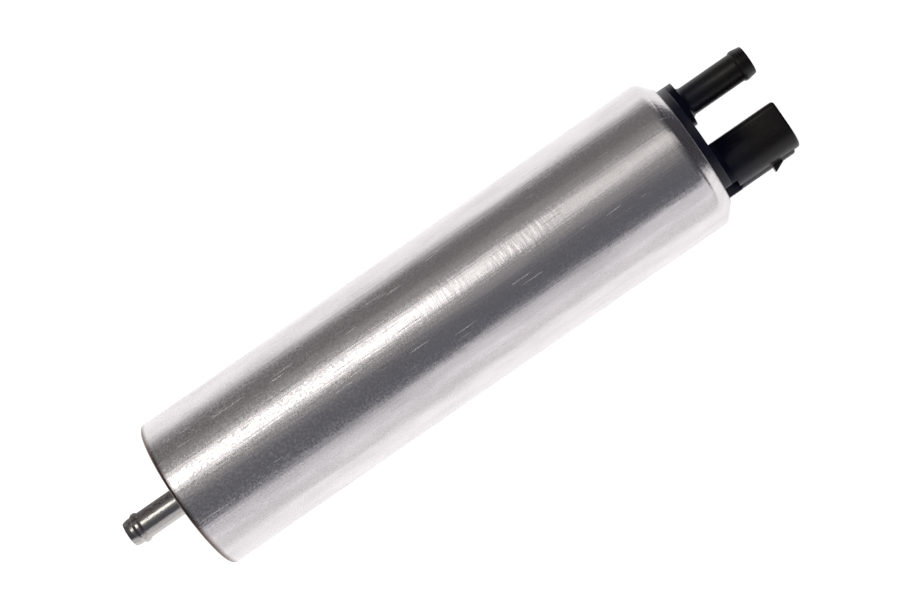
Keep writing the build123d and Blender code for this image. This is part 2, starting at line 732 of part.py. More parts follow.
def slot_section(clearance=0.0):
    """One armature slot in Y and Z, about +Y: wedge-shaped, between two tooth necks."""
    step = 360.0 / CORE_SLOTS
    half_neck = CORE_TOOTH_NECK / 2 + clearance
    outer = CORE_R - CORE_TIP_THICKNESS - clearance
    inner = CORE_HUB_DIAMETER / 2 + clearance
    half = radians(step / 2)
    corners = []
    for radius in (inner, outer):
        along = (radius**2 - half_neck**2) ** 0.5
        corners.append((along * cos(half) + half_neck * sin(half), along * sin(half) - half_neck * cos(half)))
    (yi, zi), (yo, zo) = corners
    edges = [
        Line((yi, -zi), (yo, -zo)),
        ThreePointArc((yo, -zo), (outer, 0), (yo, zo)),
        Line((yo, zo), (yi, zi)),
        ThreePointArc((yi, zi), (inner, 0), (yi, -zi)),
    ]
    return make_face(edges)


def core_section(outer_r):
    """The stack's star: teeth with wide tips round a hub, on the shaft."""
    star = Circle(outer_r) - Circle(SHAFT_R)
    mouth = Pos(outer_r, 0) * Rectangle(2 * CORE_TIP_THICKNESS + CUT_EXTRA, CORE_SLOT_MOUTH)
    for angle in around(CORE_SLOTS):
        star -= Rot(0, 0, angle) * (slot_section() + mouth)
    return star


def make_armature_core():
    """The stack of steel laminations, as one piece."""
    return bar(X_CORE, X_CORE_END, core_section(CORE_R))


def make_core_insulators():
    """Fibre stars at both ends of the stack."""
    star = core_section(CORE_R - WIRE_CLEARANCE)
    discs = bar(X_CORE - INSULATOR_THICKNESS, X_CORE, star)
    return discs + bar(X_CORE_END, X_CORE_END + INSULATOR_THICKNESS, star)


def end_turns(x0, x1):
    """The bundle of wire that crosses over at one end of the stack."""
    inner = CORE_HUB_DIAMETER / 2
    outer = CORE_R - CORE_TIP_THICKNESS
    rounding = END_TURN_ROUNDING
    return turned(
        [(x0, inner, rounding), (x0, outer, rounding), (x1, outer, rounding), (x1, inner, rounding)]
    )


def make_armature_windings():
    """Enamelled copper: a bundle in each slot, joined by the end turns."""
    windings = end_turns(X_TURNS, X_CORE - INSULATOR_THICKNESS)
    windings += end_turns(X_CORE_END + INSULATOR_THICKNESS, X_TURNS_END)
    reach = INSULATOR_THICKNESS + END_TURN_LENGTH / 2
    for angle in around(CORE_SLOTS):
        windings += bar(X_CORE - reach, X_CORE_END + reach, Rot(0, 0, angle) * slot_section(WIRE_CLEARANCE))
    return windings


def make_shaft_sleeves():
    """Plastic sleeves that space the stack from the front bearing and the commutator."""
    front = tube(X_FRONT_BOSS + END_FLOAT, X_CORE - INSULATOR_THICKNESS, SLEEVE_R, SHAFT_R)
    return front + tube(X_CORE_END + INSULATOR_THICKNESS, X_HUB, SLEEVE_R, SHAFT_R)


def make_commutator_hub():
    """The moulded disc under the commutator's segments, with its collar up to the rear bearing."""
    hub = tube(X_HUB, X_SEGMENT, COMMUTATOR_DIAMETER / 2, SHAFT_R)
    return hub + tube(X_SEGMENT, X_REAR_BUSH - END_FLOAT, SLEEVE_R, SHAFT_R)


def make_commutator_segments():
    """The carbon-faced copper segments, each with a tang for its wire."""
    step = 360.0 / CORE_SLOTS
    outer = COMMUTATOR_DIAMETER / 2
    face = Circle(outer) - Circle(COMMUTATOR_BORE / 2)
    for angle in around(CORE_SLOTS):
        face -= Rot(0, 0, angle) * Pos(outer, 0) * Rectangle(2 * outer, SEGMENT_SLOT)
    segments = bar(X_SEGMENT, X_FACE, face)
    for angle in around(CORE_SLOTS, step / 2):
        tang = Rot(0, 0, angle) * Pos(outer, 0) * Rectangle(2 * TANG_REACH, TANG_WIDTH)
        segments += bar(X_SEGMENT, X_SEGMENT + TANG_THICKNESS, tang)
    return segments


def make_brush(side):
    """One carbon brush, side +1 or -1 in Z, its curved edges rounded a little."""
    section = Pos(0, side * BRUSH_OFFSET) * RectangleRounded(BRUSH_WIDTH, BRUSH_WIDTH, 0.5)
    return bar(X_BRUSH, X_BRUSH_BACK, section)


def make_brush_spring(side):
    """The coil spring behind a brush."""
    return spring(
        X_BRUSH_BACK + FILM_GAP,
        X_WEB - FILM_GAP,
        BRUSH_SPRING_MEAN,
        BRUSH_SPRING_WIRE,
        BRUSH_SPRING_TURNS,
        0.0,
        side * BRUSH_OFFSET,
    )


def choke_return_place(side):
    """Where a choke's outer wire comes up through the web, as (y, z)."""
    turn_r = (CHOKE_ROD + CHOKE_WIRE) / 2 + CHOKE_WIRE_GAP
    y = -CHOKE_Y - turn_r
    place_r = STACK_R - CAP_SKIRT_WALL - CHOKE_WIRE_FROM_SKIRT - CHOKE_WIRE / 2
    return y, side * (place_r**2 - y**2) ** 0.5


def make_brush_lead(side):
    """The braided lead from a brush, through its spring and the web, to the choke's wire."""
    y_end, z_end = choke_return_place(side)
    y_start = y_end + CHOKE_WIRE / 2 + FILM_GAP
    x_over = X_CAP + LEAD_RISE
    z = side * BRUSH_OFFSET
    points = [(X_BRUSH_BACK + FILM_GAP, 0, z), (x_over, 0, z), (x_over, y_start, z_end)]
    path = FilletPolyline(*points, radius=LEAD_BEND)
    return swept_wire(list(path.edges()), LEAD_DIAMETER)


def make_brush_carrier():
    """The moulded end of the motor: skirt, web, brush tubes and the rear bearing's hub."""
    carrier = tube(X_CARRIER, X_CAP, STACK_R, STACK_R - CARRIER_WALL)
    carrier += bar(X_WEB, X_CAP, Circle(STACK_R))
    hub_r = BUSH_R + CARRIER_HUB_WALL
    carrier += rod(X_REAR_BUSH, X_CAP, 2 * hub_r)
    pocket = BRUSH_WIDTH + 2 * SLIDING_GAP
    block = pocket + 2 * BRUSH_TUBE_WALL
    x_tube = X_FACE + COMMUTATOR_TO_CARRIER
    for side in (-1, 1):
        centre = Pos(0, side * BRUSH_OFFSET)
        carrier += bar(x_tube, X_WEB, centre * Rectangle(block, block))
    for side in (-1, 1):
        centre = Pos(0, side * BRUSH_OFFSET)
        carrier -= bar(x_tube, X_WEB, centre * Rectangle(pocket, pocket))
        carrier -= rod(X_WEB, X_CAP, LEAD_DIAMETER + 2 * SLIDING_GAP, 0, side * BRUSH_OFFSET)
    carrier -= rod(X_REAR_BUSH - CUT_EXTRA, X_REAR_BUSH_END, 2 * BUSH_R)
    carrier -= rod(X_REAR_BUSH_END, X_SHAFT_END + END_FLOAT, SHAFT_DIAMETER + 4 * END_FLOAT)
    carrier -= rod(x_tube, X_REAR_BUSH, 2 * (SLEEVE_R + END_FLOAT))
    wire_hole = CHOKE_WIRE + 2 * SLIDING_GAP
    for side in (-1, 1):
        y, z = choke_return_place(side)
        carrier -= rod(X_WEB, X_CAP, wire_hole, y, z)
        carrier -= rod(X_WEB, X_CAP, wire_hole, y, side * (CHOKE_Z - CHOKE_END_Z))
        carrier -= rod(X_WEB, X_CAP, CHOKE_ROD, -CHOKE_Y, side * CHOKE_Z)
        carrier -= rod(X_WEB, X_CAP, FLOW_HOLE_DIAMETER, FLOW_HOLE_OFFSET, side * FLOW_HOLE_DIAMETER * 0.7)
    return carrier


def choke_start_x():
    """Where the choke's winding starts, measured back from the web."""
    return X_WEB - CHOKE_TURNS * CHOKE_PITCH - 2 * CHOKE_BEND - CHOKE_WIRE


def make_choke_core(side):
    """A ferrite rod, held in the web."""
    return rod(X_CAP - CHOKE_ROD_LENGTH, X_CAP, CHOKE_ROD, -CHOKE_Y, side * CHOKE_Z)


def make_choke_coil(side):
    """The copper wire round a ferrite rod, with both ends carried up through the web."""
    mean_r = (CHOKE_ROD + CHOKE_WIRE) / 2 + CHOKE_WIRE_GAP
    x0 = choke_start_x()
    x1 = x0 + CHOKE_TURNS * CHOKE_PITCH
    y_side, z_return = choke_return_place(1)
    z_end = CHOKE_Z - CHOKE_END_Z
    inward = Vector(0, 0, -1)
    x_lead = X_CAP + LEAD_RISE
    x_terminal = X_BLADE_FOOT
    first = FilletPolyline(
        (x_lead, y_side, z_return),
        (x0, y_side, z_return),
        (x0, y_side, CHOKE_Z),
        radius=CHOKE_BEND,
    )
    turns = coil_edges(x0, CHOKE_PITCH, CHOKE_TURNS, mean_r, -CHOKE_Y, CHOKE_Z, 180.0, inward, inward)
    last = FilletPolyline(
        (x1, y_side, CHOKE_Z),
        (x1, y_side, z_end),
        (x_terminal, y_side, z_end),
        radius=CHOKE_BEND,
    )
    coil = swept_wire([*first.edges(), *turns, *last.edges()], CHOKE_WIRE)
    return coil if side > 0 else mirror(coil, about=Plane.XY)


def socket_section(margin=0.0, wall=0.0):
    """The plug socket's outline in Y and Z: square on the spigot's side, round on the outer side."""
    height = SOCKET_HEIGHT + 2 * (margin - wall)
    width = SOCKET_WIDTH + 2 * (margin - wall)
    square = max(SOCKET_CORNER + margin - wall, 0.3)
    round_r = SOCKET_ROUND + margin - wall
    half_y = height / 2
    half_z = width / 2
    outline = FilletPolyline(
        (half_y, half_z),
        (half_y, -half_z),
        (-half_y, -half_z),
        (-half_y, half_z),
        radius=[square, square, round_r, round_r],
        close=True,
    )
    return Pos(-SOCKET_OFFSET, 0) * make_face(outline)


def blade_places():
    """The Z of each blade terminal."""
    return {"a": BLADE_PITCH / 2, "b": -BLADE_PITCH / 2}


def blade_section(z):
    """A blade's section in Y and Z."""
    return Pos(-SOCKET_OFFSET, z) * Rectangle(BLADE_THICKNESS, BLADE_WIDTH)


def make_outlet_spigot():
    """The outlet hose spigot with its barb and its rounded root, on top of the cap's pad."""
    r = SPIGOT_DIAMETER / 2
    bore_r = SPIGOT_BORE / 2
    barb_r = BARB_DIAMETER / 2
    x_barb = X_SPIGOT_TIP - BARB_LENGTH
    corners = [
        (X_PAD, bore_r),
        (X_PAD, r),
        (x_barb, r),
        (x_barb + BARB_BACK, barb_r, 0.15),
        (x_barb + BARB_BACK + BARB_LAND, barb_r, 0.3),
        (X_SPIGOT_TIP, BARB_TIP_DIAMETER / 2, BARB_TIP_ROUNDING),
        (X_SPIGOT_TIP, bore_r),
    ]
    groove_r = SPIGOT_ROOT_FILLET
    groove = round_section_ring(X_PAD + groove_r, r + groove_r, groove_r)
    wide_root = tube(X_PAD, X_PAD + groove_r, r + groove_r, bore_r) - groove
    return Pos(0, SPIGOT_OFFSET, 0) * (turned(corners) + wide_root)


def make_latch_rail():
    """The half-round rail along the socket's outer side, with a rounded end near the mouth."""
    y_middle = SOCKET_OUTER_Y - RAIL_HEIGHT + RAIL_RADIUS
    rail = rod(X_FOOT, X_SOCKET_MOUTH - RAIL_SETBACK, 2 * RAIL_RADIUS, y=y_middle)
    return fillet(rail.faces().sort_by(Axis.X)[-1].edges(), RAIL_HEIGHT)


def make_latch_ramp():
    """The ramp on the rail that a plug's latch snaps over."""
    y_rail = SOCKET_OUTER_Y - RAIL_HEIGHT
    x_flush = X_SOCKET_MOUTH - LATCH_SETBACK
    ramp = Polyline(
        (x_flush, y_rail),
        (x_flush - LATCH_LENGTH, y_rail - LATCH_HEIGHT),
        (x_flush - LATCH_LENGTH, y_rail + RAIL_HEIGHT / 2),
        (x_flush, y_rail + RAIL_HEIGHT / 2),
        close=True,
    )
    return extrude(Pos(0, 0, -LATCH_WIDTH / 2) * make_face(ramp), amount=LATCH_WIDTH)


def socket_hollow():
    """The space inside the plug socket, with the two slots in its floor that hold the blades."""
    hollow = bar(X_SOCKET_FLOOR, X_SOCKET_MOUTH, socket_section(wall=SOCKET_WALL))
    for z in blade_places().values():
        hollow += bar(X_CAP_FLOOR, X_SOCKET_FLOOR, blade_section(z))
    return hollow


def make_plug_shroud():
    """The plug socket above the cap's foot: floor, walls with a rounded mouth, rail and latch ramp."""
    shroud = bar(X_FOOT, X_SOCKET_MOUTH, socket_section())
    shroud = fillet(shroud.faces().sort_by(Axis.X)[-1].edges(), SOCKET_MOUTH_ROUNDING)
    shroud += make_latch_rail()
    shroud += make_latch_ramp()
    return shroud - socket_hollow()


def foot_section():
    """The foot in Y and Z: round the socket, flush with it on the spigot's side, with a flat outer end."""
    inner_y = SOCKET_HEIGHT / 2 - SOCKET_OFFSET
    length = inner_y - FOOT_END_Y
    kept = Pos(inner_y - length / 2, 0) * Rectangle(length, 2 * OPENING_R)
    return socket_section(margin=FOOT_MARGIN) & kept


def foot_end_waste():
    """What the flat end takes off base and foot in Y and Z, on both sides of the block under the rail."""
    depth = FOOT_END_FROM_EDGE + CUT_EXTRA
    end = Pos(FOOT_END_Y - depth / 2, 0)
    return end * (Rectangle(depth, 2 * OPENING_R) - Rectangle(depth, FOOT_BLOCK_WIDTH))


def make_outlet_cap():
    """The black moulding up to the pad under the spigot and the foot under the plug socket."""
    base_r = OPENING_R - CRIMP_GAP
    inset = CAN_WALL + STACK_CLEARANCE
    cap = turned(
        [
            (X_CAP, STACK_R - CAP_SKIRT_WALL),
            (X_CAP, STACK_R),
            (crimp_x(STACK_R, inset), STACK_R, CRIMP_BEND - inset),
            (crimp_x(base_r, inset), base_r),
            (X_BASE, base_r, CAP_EDGE_ROUNDING),
            (X_BASE, 0),
            (X_CAP_FLOOR, 0),
            (X_CAP_FLOOR, STACK_R - CAP_SKIRT_WALL),
        ]
    )
    cap -= seal_groove(X_CAP + SEAL_FROM_CAP_END)
    inside_base = Circle(base_r)
    cap += bar(X_RIM, X_PAD, Pos(SPIGOT_OFFSET, 0) * Circle(PAD_DIAMETER / 2) & inside_base)
    block = Pos(-(OPENING_R + SOCKET_OFFSET) / 2, 0) * Rectangle(OPENING_R - SOCKET_OFFSET, FOOT_BLOCK_WIDTH)
    cap += bar(X_RIM, X_FOOT, (foot_section() + block) & inside_base)
    cap -= bar(X_RIM, X_FOOT, foot_end_waste())
    cap += tube(X_VALVE, X_CAP_FLOOR, VALVE_BORE / 2 + VALVE_WALL, VALVE_BORE / 2, SPIGOT_OFFSET)
    cap -= rod(X_VALVE, X_VALVE_STEP, VALVE_BORE, SPIGOT_OFFSET)
    cap -= rod(X_VALVE_STEP, X_PAD, SPIGOT_BORE, SPIGOT_OFFSET)
    return cap - socket_hollow()


def make_check_seat():
    """The pressed-in ring that the check valve closes on."""
    return tube(X_VALVE, X_VALVE + VALVE_SEAT_THICKNESS, VALVE_BORE / 2, VALVE_SEAT_BORE / 2, SPIGOT_OFFSET)


def make_check_poppet():
    """The check valve's poppet: a head with a nose in the seat, guided by fins."""
    x0 = X_VALVE + VALVE_SEAT_THICKNESS + FILM_GAP
    head_r = POPPET_DIAMETER / 2
    nose_r = VALVE_SEAT_BORE / 2 - SLIDING_GAP
    head = turned(
        [
            (x0 - POPPET_NOSE, 0),
            (x0 - POPPET_NOSE, nose_r / 2),
            (x0, nose_r),
            (x0, head_r),
            (x0 + POPPET_THICKNESS, head_r),
            (x0 + POPPET_THICKNESS, 0),
        ]
    )
    guide = Circle(VALVE_BORE / 2 - SLIDING_GAP) - Circle(VALVE_SPRING_MEAN / 2 + VALVE_SPRING_WIRE)
    fins = Circle(0.1)
    for angle in around(POPPET_FINS // 2):
        fins += Rot(0, 0, angle) * Rectangle(VALVE_BORE, POPPET_FIN_WIDTH)
    fin_bars = bar(x0, x0 + POPPET_FIN_LENGTH, guide & fins)
    inner = Circle(VALVE_BORE / 2 - SLIDING_GAP) & fins
    return Pos(0, SPIGOT_OFFSET, 0) * (head + fin_bars + bar(x0, x0 + POPPET_THICKNESS, inner))


def make_check_spring():
    """The coil spring that closes the check valve."""
    return spring(
        X_VALVE + VALVE_SEAT_THICKNESS + FILM_GAP + POPPET_THICKNESS + FILM_GAP,
        X_VALVE_STEP - FILM_GAP,
        VALVE_SPRING_MEAN,
        VALVE_SPRING_WIRE,
        VALVE_SPRING_TURNS,
        SPIGOT_OFFSET,
        0.0,
    )


def make_terminal(z):
    """A tinned blade through the cap's floor, with a foot that meets the choke's wire."""
    x_tip = X_SOCKET_MOUTH - BLADE_TIP_SETBACK
    half = BLADE_THICKNESS / 2
    profile = Polyline(
        (X_BLADE_FOOT, half),
        (x_tip - BLADE_TIP_CHAMFER, half),
        (x_tip, half / 3),
        (x_tip, -half / 3),
        (x_tip - BLADE_TIP_CHAMFER, -half),
        (X_BLADE_FOOT, -half),
        close=True,
    )
    blade = extrude(Pos(0, -SOCKET_OFFSET, z - BLADE_WIDTH / 2) * make_face(profile), amount=BLADE_WIDTH)
    y_outer = -SOCKET_OFFSET - BLADE_FOOT_REACH
    y_mid = (y_outer - SOCKET_OFFSET + BLADE_THICKNESS / 2) / 2
    foot = Pos(y_mid, z) * Rectangle(BLADE_FOOT_REACH + BLADE_THICKNESS / 2, BLADE_WIDTH)
    return blade + bar(X_BLADE_FOOT, X_BLADE_FOOT + BLADE_THICKNESS, foot)


def all_parts():
    """Every piece, under its node's name."""
    parts = {
        "can": make_can(),
        "inlet_nipple": make_inlet_nipple(),
        "inlet_seal": make_inlet_seal(),
        "disc_spring": make_disc_spring(),
        "inlet_strainer": make_inlet_strainer(),
        "pump_cover": make_pump_cover(),
        "pump_seal": outer_seal(X_ROTOR - SEAL_FROM_COVER_FACE),
        "relief_ball": make_relief_ball(),
        "relief_spring": make_relief_spring(),
        "relief_plug": make_relief_plug(),
        "pump_ring": make_pump_ring(),
        "outer_rotor": make_outer_rotor(),
        "inner_rotor": make_inner_rotor(),
        "outlet_plate": make_outlet_plate(),
        "pump_screws": make_pump_screws(),
        "front_bush": make_front_bush(),
        "rear_bush": make_rear_bush(),
        "motor_yoke": make_motor_yoke(),
        "magnet_a": make_magnet(0),
        "magnet_b": make_magnet(180),
        "magnet_clips": make_magnet_clips(),
        "shaft": make_shaft(),
        "armature_core": make_armature_core(),
        "core_insulators": make_core_insulators(),
        "armature_windings": make_armature_windings(),
        "shaft_sleeves": make_shaft_sleeves(),
        "commutator_hub": make_commutator_hub(),
        "commutator_segments": make_commutator_segments(),
        "brush_carrier": make_brush_carrier(),
        "outlet_cap": make_outlet_cap(),
        "outlet_spigot": make_outlet_spigot(),
        "plug_shroud": make_plug_shroud(),
        "cap_seal": outer_seal(X_CAP + SEAL_FROM_CAP_END),
        "check_seat": make_check_seat(),
        "check_poppet": make_check_poppet(),
        "check_spring": make_check_spring(),
    }
    for name, side in (("a", 1), ("b", -1)):
        parts["brush_" + name] = make_brush(side)
        parts["brush_spring_" + name] = make_brush_spring(side)
        parts["brush_lead_" + name] = make_brush_lead(side)
        parts["choke_core_" + name] = make_choke_core(side)
        parts["choke_coil_" + name] = make_choke_coil(side)
        parts["terminal_" + name] = make_terminal(blade_places()[name])
    return parts


def main():
    """Writes one STEP file for each piece."""
    os.makedirs("parts", exist_ok=True)
    for name, shape in all_parts().items():
        shape.label = name
        export_step(shape, os.path.join("parts", name + ".step"))


if __name__ == "__main__":
    main()
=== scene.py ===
"""An in-line electric fuel lift pump, lying on a white studio table.

The pump's axis is along +X, from the plated inlet nipple to the black outlet cap. +Y points to the outlet
spigot, -Y to the plug socket and +Z up. Sizes here are in metres, as in the frame, unless a name, a comment
or a docstring says mm.
"""

import json
from math import cos, pi, radians, sin, tan

import bmesh
import bpy
import numpy as np
from bpy.props import FloatProperty, FloatVectorProperty, PointerProperty
from mathutils import Matrix, Vector

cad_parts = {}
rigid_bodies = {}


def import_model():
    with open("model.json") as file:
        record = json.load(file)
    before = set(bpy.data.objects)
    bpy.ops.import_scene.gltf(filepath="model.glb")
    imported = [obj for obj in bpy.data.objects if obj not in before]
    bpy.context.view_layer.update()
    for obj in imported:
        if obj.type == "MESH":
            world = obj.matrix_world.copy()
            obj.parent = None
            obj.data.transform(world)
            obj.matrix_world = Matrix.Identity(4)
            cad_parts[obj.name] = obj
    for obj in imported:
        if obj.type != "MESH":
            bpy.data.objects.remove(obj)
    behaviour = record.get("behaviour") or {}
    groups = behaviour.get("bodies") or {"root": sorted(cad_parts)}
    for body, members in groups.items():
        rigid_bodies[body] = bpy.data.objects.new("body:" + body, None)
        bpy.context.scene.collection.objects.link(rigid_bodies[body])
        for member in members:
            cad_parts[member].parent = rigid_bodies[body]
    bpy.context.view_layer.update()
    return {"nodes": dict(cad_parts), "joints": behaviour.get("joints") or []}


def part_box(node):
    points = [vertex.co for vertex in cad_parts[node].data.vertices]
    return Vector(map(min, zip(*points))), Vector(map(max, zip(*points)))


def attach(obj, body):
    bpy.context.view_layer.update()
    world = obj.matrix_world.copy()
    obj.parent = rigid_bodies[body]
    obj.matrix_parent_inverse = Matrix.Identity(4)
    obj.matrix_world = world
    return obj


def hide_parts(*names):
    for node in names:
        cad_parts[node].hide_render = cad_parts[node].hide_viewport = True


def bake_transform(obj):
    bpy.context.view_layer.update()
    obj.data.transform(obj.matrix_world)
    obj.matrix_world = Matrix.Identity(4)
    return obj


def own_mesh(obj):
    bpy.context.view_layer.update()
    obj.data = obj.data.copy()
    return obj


bl_info = {
    "name": "Fuel lift pump",
    "version": (1, 0, 0),
    "blender": (4, 5, 0),
    "location": "View3D > Sidebar > Pump",
    "description": "Builds an in-line electric fuel lift pump and its studio table",
    "category": "Add Mesh",
}

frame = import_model()
NODES = frame["nodes"]

MM = 0.001
TURN = 2 * pi

# Meshes: a rounding has at least the first number of points, and the second more for each quarter turn
ARC_POINTS, ARC_POINTS_MORE = 4, 8
TURNED_SHARP = radians(35)
CAD_SHARP = radians(28)
WELD_MM = 0.0005

# Sizes taken from the CAD
CAN_LOW, CAN_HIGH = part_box("can")
NIPPLE_LOW, NIPPLE_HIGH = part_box("inlet_nipple")
CAN_R_MM = (CAN_HIGH.z - CAN_LOW.z) / 2 / MM
CAN_START_MM = CAN_LOW.x / MM
CAN_END_MM = CAN_HIGH.x / MM
NIPPLE_TIP_MM = NIPPLE_LOW.x / MM
NIPPLE_END_MM = NIPPLE_HIGH.x / MM
NIPPLE_FLANGE_R_MM = (NIPPLE_HIGH.z - NIPPLE_LOW.z) / 2 / MM

# The can
CAN_WALL_MM = 1.2
CAN_BOTTOM_MM = 1.6
CAN_CORNER_MM = 1.0
CAN_EDGE_MM = 0.4
CAN_RUN_MM = 2.0
CAN_SEGMENTS = 256
CRIMP_OPENING_R_MM = 16.6
CRIMP_ANGLE = radians(50)
CRIMP_BEND_MM = 3.0
CRIMP_TIP_R_MM = CRIMP_OPENING_R_MM + CAN_WALL_MM * cos(CRIMP_ANGLE)

# The can's waves: half their height, the plain length at each end, and the length over which they fade in
WAVE_MM = 0.012
WAVE_PLAIN_MM = (4, 8)
WAVE_FADE_MM = 12

# The nipple
NIPPLE_SEGMENTS = 128
NIPPLE_R_MM = 3.75
NIPPLE_HOLE_R_MM = 3.85
NIPPLE_BORE_R_MM = 2.95
NIPPLE_BEAD_R_MM = 4.25
NIPPLE_BEAD_WIDTH_MM = 2.4
NIPPLE_BEAD_SETBACK_MM = 3.4
NIPPLE_BEAD_FOOT_MM = 0.3
NIPPLE_BEAD_CREST_MM = 0.45
NIPPLE_TIP_R_MM = 3.45
NIPPLE_TIP_TAPER_MM = 1.4
NIPPLE_TIP_BLEND_MM = 1.5
NIPPLE_TIP_EDGES_MM = (0.12, 0.18)
NIPPLE_FLANGE_EDGES_MM = (0.2, 0.3)

# The can's marks, in mm along the axis and round it: on unrolled coordinates the third size does nothing.
# A scratch starts where its noise passes the first number of SCRATCH_CUT, and is full at the second.
DRAWING_MM = (20.0, 0.8, 1.0)
SCRATCH_MM = (16.0, 0.4, 1.0)
RINGS_MM = (1.0, 4.5, 1.0)
RING_PATCHES_MM = (22.0, 9.0, 1.0)
STAINS_MM = (24.0, 6.0, 1.0)
SPECKLE_MM = (0.55, 0.55, 0.55)
DRAWING_DEPTH_MM = 0.03
SCRATCH_DEPTH_MM = 0.02
RING_DEPTH_MM = 0.06
PIT_DEPTH_MM = 0.012
SCRATCH_CUT = (0.71, 0.76)

# Along X: specks and pits lessen from the first place to the second, and scuffs grow between the others
SPECK_ZONE_MM = (-50.0, 10.0)
SCUFF_ZONE_MM = (-50.0, 0.0)

# The can's corner at the inlet: how far from the end, and how far in from the outside, the stain starts to
# fade and is gone
STAIN_COLOUR = "5A4238"
STAIN_STRENGTH = 0.9
STAIN_LENGTH_MM = (0.6, 1.7)
STAIN_DEPTH_MM = (0.5, 1.3)

# The can's raw edge in the crimp: how far before the can's end the extra roughness starts and is full
RAW_EDGE_MM = (0.4, 0.1)
RAW_EDGE_ROUGHER = 0.5

# The nipple's painted shade on its +Y side: the Y where it starts and where it is full, and how far its
# rim wanders
SIDE_SHADE_COLOUR = "3A302D"
SIDE_SHADE_STRENGTH = 0.9
SIDE_SHADE_MM = (1.4, 2.8)
SIDE_SHADE_WANDER_MM = 1.1

# The cap's base: its painted shade, darker and bluish where the cap meets the can, and how far past the can
# the spigot's and the socket's cast takes over
BASE_SHADE_COLOUR = "0C1029"
BASE_SHADE_FADE_MM = (3.0, 14.0)

# The table and its glowing panel, an ellipse. The glow has faded to the far glow at PANEL_FADE times the
# panel's size.
TABLE_HALF = 3.0
PANEL_MIDDLE_MM = (0.0, -30.0)
PANEL_HALF_MM = (185.0, 150.0)
PANEL_FADE = 2.0
ACRYLIC_COLOUR = "F4F2F3"

# The card past the outlet
FLAG_X = 0.124
FLAG_SIDES = (-0.02, 0.055)
FLAG_TOP = 0.035
FLAG_COLOUR = "56565C"

# The room: its colours towards -Y and +Y, and the share of its light that is left past both ends. Both
# change between two values of the unit direction's Y, or of how far it points along X.
ROOM_COLOURS = ("B5B7C3", "D2CFD0")
ROOM_SIDES = (-0.5, 0.5)
ROOM_ENDS = (0.2, 0.8)
ROOM_END_SHARE = 0.45

SOFTBOXES = (
    # name, degrees from +Z towards +Y, degrees wide, distance, ends along X, radiance, colour
    ("side_box", -63, 26, 0.9, (-1.1, 1.1), 0.7, "FDFBFC"),
    ("low_box", -84, 20, 0.9, (-1.1, 1.1), 0.76, "FFFBFB"),
    ("halo", 27, 62, 1.2, (-0.7, 0.3), 0.14, "FFFBF6"),
    ("strip_left", 26, 20, 1.1, (-0.6, -0.04), 2.25, "FFFEFA"),
    ("strip_right", 27, 22, 1.1, (-0.04, 1.6), 0.5, "FFFBF7"),
)

SENSOR_WIDTH_MM = 36.0
CAMERA_REACH = 20.0


def hex_colour(code):
    """An sRGB hex colour as linear red, green, blue and alpha."""
    parts = [int(code[i : i + 2], 16) / 255 for i in (0, 2, 4)]
    linear = [c / 12.92 if c <= 0.04045 else ((c + 0.055) / 1.055) ** 2.4 for c in parts]
    return (*linear, 1.0)


class PumpFinish(bpy.types.PropertyGroup):
    """Colours and finishes that a user would change."""

    can_colour: FloatVectorProperty(
        name="Can", description="Bare aluminium of the can", subtype="COLOR", size=4,
        min=0, max=1, default=hex_colour("E5E1E2"),
    )
    can_roughness: FloatProperty(
        name="Can roughness", description="How far the can blurs what it mirrors",
        subtype="FACTOR", min=0, max=1, default=0.21,
    )
    cap_colour: FloatVectorProperty(
        name="Cap", description="Black glass-filled nylon of the cap", subtype="COLOR", size=4,
        min=0, max=1, default=hex_colour("1A1614"),
    )
    cap_roughness: FloatProperty(
        name="Cap roughness", description="How dull the cap is", subtype="FACTOR",
        min=0, max=1, default=0.36,
    )
    nipple_colour: FloatVectorProperty(
        name="Nipple", description="Bright plated steel of the inlet nipple", subtype="COLOR", size=4,
        min=0, max=1, default=hex_colour("B4B1AE"),
    )


class PumpStage(bpy.types.PropertyGroup):
    """Camera, table and room."""

    lens: FloatProperty(
        name="Lens", description="Focal length in millimetres", subtype="DISTANCE_CAMERA", default=103.6,
    )
    distance: FloatProperty(
        name="Camera distance", description="From the camera to the point it aims at", subtype="DISTANCE",
        default=0.6666,
    )
    roll: FloatProperty(
        name="Roll", description="How steeply the pump's axis rises in the picture", subtype="ANGLE",
        default=radians(34.7),
    )
    tilt: FloatProperty(
        name="Tilt", description="How far the outlet end is turned towards the camera", subtype="ANGLE",
        default=radians(2.1),
    )
    aim: FloatVectorProperty(
        name="Aim", description="The point in the middle of the picture", subtype="TRANSLATION",
        default=(0.0053, 0.00264, 0.0),
    )
    table_glow: FloatProperty(
        name="Table glow", description="Light of the back-lit table", min=0, default=0.86,
    )
    far_glow: FloatProperty(
        name="Far glow", description="Light of the table beyond its panel", min=0, default=0.22,
    )
    surround: FloatProperty(
        name="Surround", description="Brightness of the dim room behind the lights", min=0, default=0.3,
    )


def add(tree, kind, sockets=None, **settings):
    """Adds a shader node with its settings. A socket takes a value, or is linked to another's output."""
    node = tree.nodes.new(kind)
    for name, value in settings.items():
        setattr(node, name, value)
    for socket, value in (sockets or {}).items():
        if isinstance(value, bpy.types.NodeSocket):
            tree.links.new(value, node.inputs[socket])
        else:
            node.inputs[socket].default_value = value
    return node


def new_material(name, **values):
    """A material with its surface shader, and the object coordinates in millimetres for its patterns."""
    material = bpy.data.materials.new(name)
    material.use_nodes = True
    tree = material.node_tree
    tree.nodes.clear()
    shader = add(tree, "ShaderNodeBsdfPrincipled", values)
    add(tree, "ShaderNodeOutputMaterial", {"Surface": shader.outputs["BSDF"]})
    place = add(tree, "ShaderNodeTexCoord").outputs["Object"]
    in_mm = add(tree, "ShaderNodeMapping", {"Vector": place, "Scale": (1 / MM, 1 / MM, 1 / MM)})
    return material, tree, shader, in_mm.outputs["Vector"]


